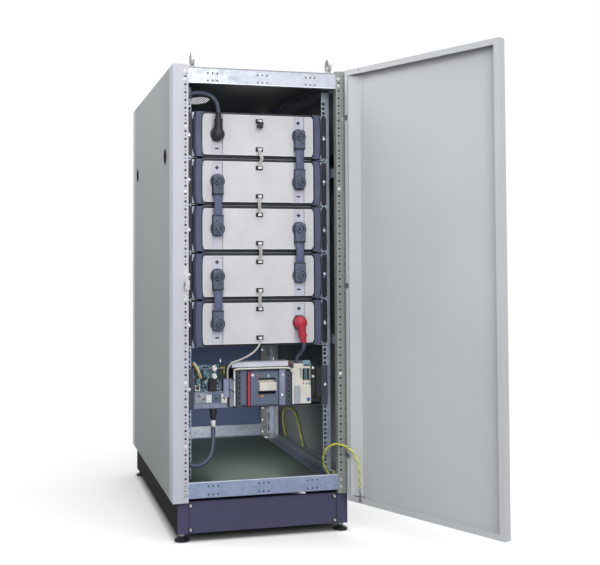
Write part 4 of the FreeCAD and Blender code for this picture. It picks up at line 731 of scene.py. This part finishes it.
def fitModules():
    facts = module
    # Dark walls round the wells: painted shade in the recesses
    rim = turned((0, facts["front"] + 9.5, 0), [(0, 24.9), (9.2, 24.9)], 40)
    editFaces(rim, lambda face: abs(face.normal.y) > 0.9)
    bpy.ops.mesh.delete(type="FACE")
    bpy.ops.object.mode_set(mode="OBJECT")
    gather(spread(change(rim, "SOLIDIFY", {"thickness": 0.0006}), terminals), "wellRimShades", "gasketRubber")
    # A darker lavender lining in each terminal channel: painted shade
    lining = slab(-18.4, 18.4, -422.5, -421.6, -66.2, 66.2, 0.2, 1)
    gather(spread(lining, terminals), "channelShadeLinings", "channelShadePlastic")
    # Thin white strips along the plates' edges: painted highlight
    high, low = facts["front"] - 0.35, facts["front"] + 0.6
    edges = [slab(-184, 184, high, low, way * 65.4, way * 66.8, 0.3, 1) for way in (1, -1)]
    edges += [slab(side * 188.2, side * 189.8, high, low, -60, 60, 0.3, 1) for side in sides]
    gather(spread(join(edges), levels), "plateEdgeHighlights", "plateHighlightWhite")
    half, thin, back = facts["markHalf"], facts["markThin"], facts["channel"] + 0.1
    marks = []
    for kind, side, number, way in facts["marks"]:
        spot = [(side * cabinet["terminalX"], 0, rise(number) + way * facts["markRise"])]
        marks += spread(slab(-half, half, back - 0.5, back, -thin, thin, 0.15, 1), spot)
        if kind == "plus":
            marks += spread(slab(-thin, thin, back - 0.55, back, -half, half, 0.15, 1), spot)
    gather(marks, "poleMarks", "blackPlastic")
    shield = slab(facts["portX"] - 8.6, facts["portX"] + 8.6, -429.4, -431.2, -3.6, 3.6, 0.3)
    gather(spread(sunk(shield, 0.8, 1.0), ports), "portShields", "zincSteel")
    gather(spread(slab(-188, 188, -417.9, -416.4, -79.2, -77.2, 0.3), levels[:-1]), "caseSeams", "greySheet")
    gather(spread(slab(-200, 200, -419.0, -417.2, -74.6, -70.2, 0.5), levels), "caseShelves", "blackPaint")
    print("module details")


# Bezels: the fine dark line that follows each outer edge, and the pale plates behind the scallops
bezel = {"outer": 221.0, "half": 73.5, "scallop": 7.0, "scallopHigh": 24.0, "front": -433.0, "gapX": 192.6}


def darkLines(name, y, radius, spots):
    tubes = [wrapTube(linePoints([(side * x / 1000, y / 1000, (z + level[2]) / 1000) for x, z in spots]), radius,
                      corners=6) for side in sides for level in levels]
    gather(tubes, name, "gasketRubber")


def fitBezelLines():
    facts = bezel
    out, half, x = facts["outer"], facts["half"], facts["gapX"]
    knee, bend = half - facts["scallopHigh"], out - facts["scallop"]
    halves = []
    for way in (1, -1):
        wedge = slab(bend - 1, out + 1.5, -418.6, -417.2, way * knee, way * (half - 1), 0.2, 1)
        editWhole(wedge)
        normal = Vector((-facts["scallopHigh"], 0, -way * facts["scallop"])).normalized()
        bpy.ops.mesh.bisect(plane_co=(out / 1000, 0, way * knee / 1000), plane_no=normal, use_fill=True,
                            clear_outer=True)
        bpy.ops.object.mode_set(mode="OBJECT")
        halves.append(wedge)
    pairs = spread(join(halves), levels + levels)
    for piece in pairs[len(levels):]:
        piece.data.transform(Matrix.Scale(-1, 4, (1, 0, 0)))
        piece.data.flip_normals()
    gather(pairs, "scallopPlates", "lavenderSheet")
    line = [(bend - 1.5, half - 2), (bend - 1.5, half - 5), (out - 8.5, knee + 2), (out - 5.5, knee - 14)]
    darkLines("bezelLines", facts["front"], 0.0014, line + [(x, -z) for x, z in reversed(line)])
    ends = [(x - 3.4, 70), (x - 1.2, 62), (x, 30)]
    darkLines("plateGaps", -432.6, 0.0016, ends + [(x, -z) for x, z in reversed(ends)])
    print("bezels")


def bevelEdges(piece, test, width, segments):
    editFaces(piece, lambda face: False)
    bpy.ops.mesh.select_mode(type="EDGE")
    bpy.ops.object.mode_set(mode="OBJECT")
    for edge in piece.data.edges:
        first, second = [piece.data.vertices[n].co for n in edge.vertices]
        edge.select = bool(test(first * 1000, second * 1000))
    bpy.ops.object.mode_set(mode="EDIT")
    bpy.ops.mesh.bevel(offset=width / 1000, segments=segments, affect="EDGES")
    bpy.ops.object.mode_set(mode="OBJECT")


# Link boots: a soft block over each terminal, with a turned cap, a pin hole and two moulded folds.
# Each link is (side, upper module)
boots = {"half": 17.0, "front": -450.0, "back": -424.0, "low": -20.0, "high": 44.0, "corner": 7.0,
         "folds": ((18.0, 38, 1), (27.0, -38, -1)), "foldThick": 2.6, "links": ((1, 0), (-1, 1), (1, 2), (-1, 3))}


def fitBoots():
    facts = boots
    half, front, back, high = facts["half"], facts["front"], facts["back"], facts["high"]
    boot = slab(-half, half, front, back, facts["low"], high, 0)
    bevelEdges(boot, lambda a, b: abs(a.y - b.y) > 20 and max(a.z, b.z) < 0, facts["corner"], 6)
    bevelEdges(boot, lambda a, b: abs(a.y - b.y) > 20 and min(a.z, b.z) > 40, 2.5, 3)
    smooth(softEdges(boot, 1.8, 3, 50), 40)
    cap = turned((0, front + 0.2, 0), [(0, 13.5), (1.9, 13.4), (2.6, 12.6), (2.7, 10.6), (1.7, 9.9), (1.6, 6.6),
                                       (2.5, 6.0), (2.6, 2.0)], 36)
    # Among these dark parts, the small disc over the pin hole is painted shade in the hole
    dark = [slab(-half - 0.6, half + 0.6, front - 0.7, back + 1, high - 3.4, high - 0.2, 0.4, 1),
            turned((5.4, front - 1.7, 1.5), [(0, 4.4), (1.2, 4.4), (1.3, 3.2)], 16),
            turned((0, front - 0.2, 0), [(0, 14.6), (0.9, 14.6), (1.0, 13.2)], 36),
            turned((-1.6, front - 1.8, -1.0), [(0, 8.2), (0.8, 8.2), (0.9, 6.4), (0.3, 6.2)], 26)]
    for z, tilt, side in facts["folds"]:
        fold = slab(0, side * 17, front - 0.5, front + 0.4, z, z + facts["foldThick"], 0.3, 1)
        dark.append(spun(fold, tilt, (0, 0, z)))
    for parts, name, tone, stands in (([boot, cap], "linkBoots", "bootPlastic", ("black_cable_heads",)),
                                      (dark, "linkBootMarks", "gasketRubber", ())):
        upright = join(parts)
        turnedOver = spun(copyTo(upright, (0, 0, 0)), 180, (0, 0, 0))
        ends = [[(side * cabinet["terminalX"], 0, rise(upper + lower)) for side, upper in facts["links"]]
                for lower in (0, 1)]
        gather(spread(turnedOver, ends[0]) + spread(upright, ends[1]), name, tone, stands=stands)
    straps = []
    for side, upper in facts["links"]:
        x, foot, head = side * cabinet["terminalX"], rise(upper + 1) + high, rise(upper) - high
        straps.append(smooth(slab(x - 13, x + 13, -444, -436, foot - 1, head + 1, 2.4, 3), 40))
        straps += [slab(x + way * 8.2 - 0.5, x + way * 8.2 + 0.5, -444.25, -443.5, foot + 1, head - 1, 0.2, 1)
                   for way in sides]
    gather(straps, "linkStraps", "strapRubber", stands=("link_straps",))
    print("link boots and straps")


# Elbow plugs: a domed head over the terminal and a ringed shank that hands over to the cable
plugs = {
    "headBack": -424.0, "cableY": -445.0, "redTilt": 8.0, "gland": (-149.0, -400.0, 403.05), "tagLow": 342.0,
    "minusHead": [(0, 18.8), (3, 18.8), (3.2, 17.6), (14, 17.6), (14.2, 18.8), (24, 18.6), (30, 16.8), (34, 13.0),
                  (36.2, 7.5), (36.6, 2.0)],
    "minusShank": [(2, 14), (22, 13.6), (22.2, 12.4), (24.6, 12.4), (24.8, 13.4), (30, 13.2), (30.2, 12.0),
                   (32.6, 12.0), (32.8, 13.0), (44, 12.5), (44.1, 14.0), (49, 14.0), (49.1, 11.0), (54, 10.4),
                   (54.1, 9.4), (56, 9.3), (56.1, 10.0), (60, 9.6), (60.1, 8.8), (62, 8.7), (62.1, 9.3), (67, 8.5)],
    "glandRings": [(-0.5, 12.5), (4, 12.5), (4.2, 11.0), (9, 11.0), (9.2, 12.0), (16, 12.0), (16.2, 10.6),
                   (22, 10.2), (22.2, 9.4), (24, 9.4), (24.2, 10.0), (30, 9.4), (30.2, 8.8), (37, 8.4)],
    "plusHead": [(0, 20.8), (4, 20.8), (4.2, 19.4), (16, 19.4), (16.2, 20.8), (24, 20.6), (30, 18.8), (34, 14.6),
                 (36.2, 8.6), (36.6, 2.2)],
    "plusShank": [(4, 14), (24, 13.6), (24.2, 12.6), (26, 12.6), (26.2, 13.5), (32, 13.3), (32.2, 12.3), (34, 12.3),
                  (34.2, 13.2), (46, 12.5), (46.1, 14.0), (51, 14.0), (51.1, 11.0), (56, 10.4), (56.1, 9.5),
                  (58, 9.4), (58.1, 10.1), (63, 9.6), (63.1, 8.8), (65, 8.7), (65.1, 9.2), (69, 8.5)],
}


def fitPlugs():
    facts = plugs
    up, down = (0, 0, 1), (0, 0, -1)
    x, z = -cabinet["terminalX"], rise(0)
    black = [turned((x, facts["headBack"], z), facts["minusHead"], 40),
             turned((x, facts["cableY"], z), facts["minusShank"], 32, up),
             turned(facts["gland"], facts["glandRings"], 28, down)]
    gather(black, "blackPlugs", "plugRubber")
    tag = turned((*facts["gland"][:2], facts["tagLow"]), [(0, 7.4), (0.6, 7.9), (21.4, 7.9), (22, 7.4)], 28, up)
    gather([tag], "cableTag", "whiteNylon")
    x, z = cabinet["terminalX"], rise(4)
    shank = turned((x, facts["cableY"], z), facts["plusShank"], 32, down)
    red = [turned((x, facts["headBack"], z), facts["plusHead"], 40),
           spun(shank, -facts["redTilt"], (x, facts["cableY"], z))]
    red += [slab(x - 9 + 6 * n, x - 7.4 + 6 * n, -458.6, -450, z + 1.5, z + 12, 0.5) for n in range(4)]
    gather(red, "redPlug", "redPlug", stands=("red_cable_head",))
    print("plugs")


# Free leads: their routes are those of the CAD solids, in metres
leads = {
    "minusCable": ("greyCable", 0.014, "stiff", ("minus_cable",), [
        (-0.14, -0.445, 1.3694), (-0.14, -0.445, 1.3974), (-0.1586, -0.4478, 1.4234), (-0.1945, -0.4532, 1.4344),
        (-0.2344, -0.4592, 1.4294), (-0.265, -0.4638, 1.4044), (-0.275, -0.464, 1.3594), (-0.271, -0.466, 1.0176),
        (-0.275, -0.464, 0.6758), (-0.271, -0.466, 0.3341), (-0.2705, -0.4631, 0.2721), (-0.2507, -0.4598, 0.2431),
        (-0.2222, -0.454, 0.2281), (-0.1874, -0.4462, 0.2331), (-0.1626, -0.4338, 0.2581),
        (-0.1527, -0.4169, 0.2921), (-0.149, -0.4, 0.3301), (-0.149, -0.4, 0.3661)]),
    "plusCable": ("darkCable", 0.014, "stiff", ("plus_cable",), [
        (0.1496, -0.445, 0.6117), (0.1516, -0.445, 0.5979), (0.1446, -0.4295, 0.5787), (0.133, -0.414, 0.5637),
        (0.133, -0.414, 0.543)]),
    "dataLead": ("dataCable", 0.006, "medium", (), [
        (0.002, -0.437, 0.6296), (0.002, -0.437, 0.6136), (-0.012, -0.44, 0.5936), (-0.0358, -0.439, 0.5756),
        (-0.0661, -0.435, 0.5616), (-0.0941, -0.434, 0.5536), (-0.106, -0.429, 0.5376), (-0.106, -0.423, 0.5216),
        (-0.106, -0.423, 0.4991)]),
    # From here on: loose wires of the chassis, and the wire low down on the right side panel
    "controlWire_1": ("signalYellow", 0.0042, "medium", (), [
        (-0.2195, -0.4135, 0.552), (-0.214, -0.4185, 0.545), (-0.206, -0.4205, 0.53), (-0.2, -0.4195, 0.512),
        (-0.196, -0.412, 0.499), (-0.194, -0.3975, 0.494)]),
    "controlWire_2": ("whiteNylon", 0.0042, "medium", (), [
        (-0.2165, -0.4135, 0.556), (-0.21, -0.4205, 0.548), (-0.202, -0.423, 0.531), (-0.195, -0.4215, 0.513),
        (-0.19, -0.413, 0.5), (-0.187, -0.3975, 0.496)]),
    "coilWire": ("creamPlastic", 0.0058, "medium", (), [
        (-0.083, -0.419, 0.52), (-0.083, -0.426, 0.5275), (-0.074, -0.428, 0.532), (-0.04, -0.4285, 0.5315),
        (0.02, -0.4285, 0.5315), (0.08, -0.4285, 0.5315), (0.104, -0.428, 0.53), (0.1115, -0.427, 0.524),
        (0.1125, -0.423, 0.515)]),
    "tieWire_1": ("blackPlastic", 0.0026, "medium", (), [
        (-0.099, -0.4195, 0.504), (-0.094, -0.4285, 0.503), (-0.088, -0.429, 0.499), (-0.0825, -0.424, 0.495)]),
    "tieWire_2": ("blackPlastic", 0.0026, "medium", (), [
        (-0.103, -0.4195, 0.467), (-0.096, -0.4285, 0.464), (-0.089, -0.429, 0.46), (-0.0825, -0.424, 0.456)]),
    "sideEarthWire": ("earthWire", 0.006, "medium", (), [
        (0.286, 0.229, 0.172), (0.286, 0.238, 0.182), (0.286, 0.254, 0.2), (0.286, 0.281, 0.238),
        (0.286, 0.273, 0.267), (0.286, 0.24, 0.287), (0.286, 0.201, 0.297), (0.286, 0.115, 0.302),
        (0.286, 0.066, 0.259), (0.286, 0.02, 0.205), (0.286, 0.003, 0.181)]),
}


def layLead(name, tone, diameter, stands, route, strands=()):
    points = linePoints(route)
    # Strands lie side by side, each a little slimmer than half of the ribbon
    tubes = [wrapTube([p + Vector((shift, 0, 0)) for p in points], diameter / 4 * 0.98, corners=10)
             for shift in strands] or [wrapTube(points, diameter / 2, corners=16)]
    piece = gather(tubes, name, tone, stands=stands)


# Flat data ribbons of two wires between the modules, in metres, each with its own sway
ribbon = {"x": 0.002, "y": -0.437, "out": 0.005, "share": 0.24, "half": 0.0027, "width": 0.0106,
          "sway": (0.009, -0.003, 0.0035, -0.0025), "port": 50.5}


def layLeads():
    for name, (tone, diameter, stiffness, stands, route) in leads.items():
        layLead(name, tone, diameter, stands, route)
    facts = ribbon
    x, y = facts["x"], facts["y"]
    for n, sway in enumerate(facts["sway"]):
        top, bottom = (rise(n) - facts["port"]) / 1000, (rise(n + 1) + facts["port"]) / 1000
        span = top - bottom
        route = [(x, y, top), (x, y, top - facts["share"] * span), (x + sway, y - facts["out"], top - 0.5 * span),
                 (x, y, bottom + facts["share"] * span), (x, y, bottom)]
        layLead("dataRibbon_%d" % (n + 1), "dataCable", facts["width"], () if n else ("data_cables",), route,
                (-facts["half"], facts["half"]))
    print("leads")


# Data plugs in the ports, and the bus terminator that hangs from the top one
dataPlugs = {"x": 2.0, "half": 6.6, "high": 3.4, "tilt": 14.0}


def fitDataPlugs():
    facts = dataPlugs
    x = facts["x"]
    shell = slab(x - facts["half"], x + facts["half"], -441, -431.3, -facts["high"], facts["high"], 1.0)
    gather(spread(sunk(shell, 1.2, 0.8), ports), "dataPlugs", "plugShell", stands=("data_plugs",))
    black = []
    for side in sides:
        black += spread(slab(x + side * 6.8, x + side * 11.4, -436, -431.3, -5.2, 5.2, 1.2), ports)
    z = rise(0) + cabinet["portRise"]
    terminator = sunk(slab(-7.5, 12, -450.5, -438, z - 24, z - 4, 1.6, 3), 3.0, 0.8)
    gather(black + [spun(terminator, facts["tilt"], (2, -444, z - 14))], "dataPlugBoots", "blackPlastic")
    print("data plugs")


# Pieces with a framed, sunk front: finish, depth, then each slab with its edge and the width of its frame
sunkPlates = {
    "boardCover": ("chassisZinc", 0.5, [(-119, -100, -422, -416, 440, 500, 1.0, 1.6)]),
    "whiteStrips": ("whiteNylon", 0.6, [(-85, -80, -424, -419, 411, 531, 0.8, 0.7),
                                        (115.5, 120, -424, -419, 409, 529, 0.8, 0.63)]),
    "sideStrips": ("slatePlastic", 0.6, [(-60.5, -40, -417.5, -412.5, 411, 526, 0.8, 2.87)]),
    "busFacing": ("chassisZinc", 0.5, [(71.5, 92.5, -420.6, -415.6, 408, 528, 0.8, 2.94)]),
    "contactorSide": ("greyPlastic", 0.5, [(120.5, 141.5, -427.8, -424, 410.5, 469.5, 0.8, 2.5)]),
    "ductEnd": ("signalMaroon", 0.5, [(100.2, 105.5, -427, -405, 535.5, 554.5, 1.2, 1.2)]),
}
# Fuse holders of the chassis as (finish, x, x, front, z, z), and their levers as (x, z, tilt)
fuses = (("greyPlastic", -212, -178, -420, 425, 455), ("whiteNylon", -176.5, -158, -421, 424, 449),
         ("slatePlastic", -156, -128, -419.5, 423, 452), ("whiteNylon", -125.5, -107, -421, 422, 451))
levers = ((-201, 447, 20), (-186, 436, -35), (-142, 438, 30), (-117, 437, 40))


def fitChassisPlates():
    for name, (tone, depth, rows) in sunkPlates.items():
        gather([sunk(slab(*row[:7]), row[7], depth) for row in rows], name, tone)
    # The zinc cover of the bus bars, in the grey zinc sheet finish
    gather([slab(-99, -86.5, -423.8, -416, 407, 500, 1.0)], "busCover", "greySheet")
    for n, (tone, x0, x1, front, z0, z1) in enumerate(fuses):
        middle = (x0 + x1) / 2
        parts = [sunk(slab(x0, x1, front, -412, z0, z1, 1.0), 2.6, 0.9),
                 slab(middle - 4.5, middle + 4.5, front - 1.2, front + 2, z0 + 5, z0 + 12, 0.6)]
        gather(parts, "fuseHolder_%d" % (n + 1), tone)
    gather([spun(slab(x - 5, x + 5, -423, -420, z - 1.6, z + 1.6, 0.5), tilt, (x, -421, z)) for x, z, tilt in levers],
           "fuseLevers", "blackPlastic")
    print("chassis plates")


# Breaker: the opening its toggle swings in, and its coloured flags as (finish, x, z, width, height)
breaker = {
    "gate": (-1.8, 56.8, -430, -410, 444.5, 499.5), "dot": (-21.5, -424.0, 509.0),
    "ribs": ((-27, 69, 519, 521.2), (-27, 69, 407.2, 409.4), (68.2, 70, 409, 519)),
    "flags": (("signalRed", 2, 505, 6.0, 7.0), ("signalGreen", 11, 505, 5.5, 7.0), ("whiteNylon", 33, 505.5, 4.0, 8.0),
              ("signalRed", 3, 439.6, 6.5, 6.4), ("signalYellow", 12.5, 439.6, 5.5, 6.4)),
}


def fitBreaker():
    facts = breaker
    parts = [cutAway(slab(*size), slab(*facts["gate"], 0.2, 1)) for size in
             ((-28, 66, -424.2, -419.2, 411, 518, 1.0), (-3.2, 58.2, -424.9, -423.6, 443.2, 500.8, 0.5))]
    parts += [slab(x0, x1, -424, -418, z0, z1, 0.5) for x0, x1, z0, z1 in facts["ribs"]]
    gather(parts, "breakerFront", "slatePlastic")
    flags = {}
    for tone, x, z, wide, high in facts["flags"]:
        flag = slab(x - wide / 2, x + wide / 2, -424.7, -424, z - high / 2, z + high / 2, 0.15, 1)
        flags.setdefault(tone, []).append(flag)
    flags["whiteNylon"].append(turned(facts["dot"], [(0, 4.6), (0.8, 4.6), (1.2, 3.22)], 20))
    for tone, pieces in flags.items():
        gather(pieces, "breakerMarks_" + tone, tone)
    caps = [slab(-1, 26.5, -440.6, -431, 459.2, 485, 1.4, 3),
            sunk(slab(28, 56, -440.6, -431, 459.2, 485, 1.4, 3), 1.6, 0.6)]
    caps += [slab(31 + 3.6 * n, 32.6 + 3.6 * n, -441.2, -439, 461.5, 482.7, 0.4) for n in range(7)]
    gather(caps, "toggleCaps", "creamPlastic", body="breaker_toggle_body")
    print("breaker")


# Control board: chips as (x, x, z, z, height), coils as (x, z, radius), cans as (x, z, radius, height)
board = {
    "face": -395.0, "chips": ((-205, -191, 466, 478, 5), (-186, -170, 470, 484, 4), (-178, -168, 500, 514, 5),
                              (-190, -182, 512, 524, 8)),
    "coils": ((-194, 516, 9.5), (-184, 502, 7.5)),
    "cans": ((-172, 492, 3.5, 11), (-166, 505, 3.0, 9), (-205, 492, 3.5, 10)),
}


def fitBoard():
    facts = board
    y = facts["face"]
    parts = []
    for x0, x1, z0, z1, tall in facts["chips"]:
        legs = slab(x0 + 0.8, x0 + 1.8, y - 1.2, y, z0 - 1.2, z1 + 1.2, 0.2, 1)
        parts += [sunk(slab(x0, x1, y - tall, y, z0, z1, 0.4), 0.8, 0.3),
                  repeated(legs, 4, ((x1 - x0 - 2.6) / 3, 0, 0))]
    for x, z, radius in facts["coils"]:
        parts.append(turned((x, y - 14, z), [(0, radius), (3, radius + 0.6), (6, radius + 0.6), (8, radius),
                                             (8.1, radius * 0.55), (5, radius * 0.5)], 26))
    gather(parts, "boardParts", "blackPlastic")
    cans = [turned((x, y, z), [(0, radius), (tall - 0.6, radius), (tall, radius - 0.5), (tall, radius - 1.0),
                               (tall - 0.4, radius - 1.3)], 20) for x, z, radius, tall in facts["cans"]]
    gather(cans, "boardCans", "zincSteel")
    socket = sunk(slab(-212, -195, -414, y, 463, 480, 0.8), 1.8, 5.0)
    gather([socket, slab(-208, -170, -406, y, 455.5, 461, 0.6)], "boardSockets", "whiteNylon")
    pins = repeated(slab(-205.6, -203.8, -407.2, -405, 457, 459.6, 0.2, 1), 8, (4.6, 0, 0))
    gather([slab(-208.5, -198.5, -413.2, -400, 466, 477, 0.8), pins], "socketPlugs", "blackPlastic")
    print("control board")


def fitContactor():
    cover = cutAway(slab(120.5, 149.5, -428.2, -424, 470.5, 541, 1.2), slab(127, 146, -440, -400, 495, 530, 0.6))
    label = sunk(slab(142.5, 178.5, -429.2, -424, 411, 469, 1.0), 1.6, 0.4)
    gather([cover, label], "contactorCover", "creamPlastic")
    comb = [slab(157, 165.5, -427, -418.5, 490, 529, 0.8)]
    comb += [slab(156.4, 166, -428, -426, 492.5 + 5.2 * n, 495 + 5.2 * n, 0.3) for n in range(7)]
    gather(comb, "combConnector", "combGreen")
    covers = [sunk(slab(197.5, 217, -425, -415, 427, 529, 1.4, 3), 2.2, 0.6),
              slab(181.5, 196, -422.5, -415, 415, 533, 1.2)]
    gather(covers, "clampCovers", "blackPlastic")
    print("contactor")


def fitDuct():
    lid = [slab(-92, 100, -427.4, -425.6, 536.6, 552.2, 0.7)]
    lid += [slab(-92, 100, -428.2, -426.5, z, z + 1.6, 0.5) for z in (537.2, 550.6)]
    gather(lid, "ductLid", "ductPlastic")
    hook = turned((0, 0, 0), [(0, 3.4), (4, 3.2), (5, 2.2), (10, 2.0), (11, 1.2)], 16, (0, 0, 1))
    gather(spread(hook, [(x, -400, 553) for x in (-125, 57)]), "ductHooks", "zincSteel")
    print("duct")


# Earth lead from the frame to the open door, in metres
earth = {
    "route": [(0.254, -0.438, 0.1838), (0.254, -0.447, 0.1838), (0.247, -0.451, 0.1758), (0.234, -0.451, 0.1748),
              (0.215, -0.456, 0.2018), (0.204, -0.47, 0.2368), (0.207, -0.49, 0.2668), (0.219, -0.505, 0.2838),
              (0.238, -0.52, 0.2918), (0.262, -0.54, 0.2848), (0.2788, -0.5557, 0.269), (0.2868, -0.5697, 0.247),
              (0.2918, -0.5757, 0.216), (0.2938, -0.5747, 0.182), (0.2938, -0.5747, 0.16)],
    "diameter": 0.006, "turnLength": 0.03,
}


def layEarthLead():
    facts = earth
    points = linePoints(facts["route"])
    strap = wrapTube(points, facts["diameter"] / 2, facts["turnLength"])
    strap.name = "earthLead"
    dress(strap, finish["earthWire"])
    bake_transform(strap)
    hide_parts("earth_strap")


layEarthLead()
layLeads()
fitHeads()
fitPlates()
fitFrameDetails()
fitModules()
fitBezelLines()
fitBoots()
fitPlugs()
fitDataPlugs()
fitChassisPlates()
fitBreaker()
fitBoard()
fitContactor()
fitDuct()
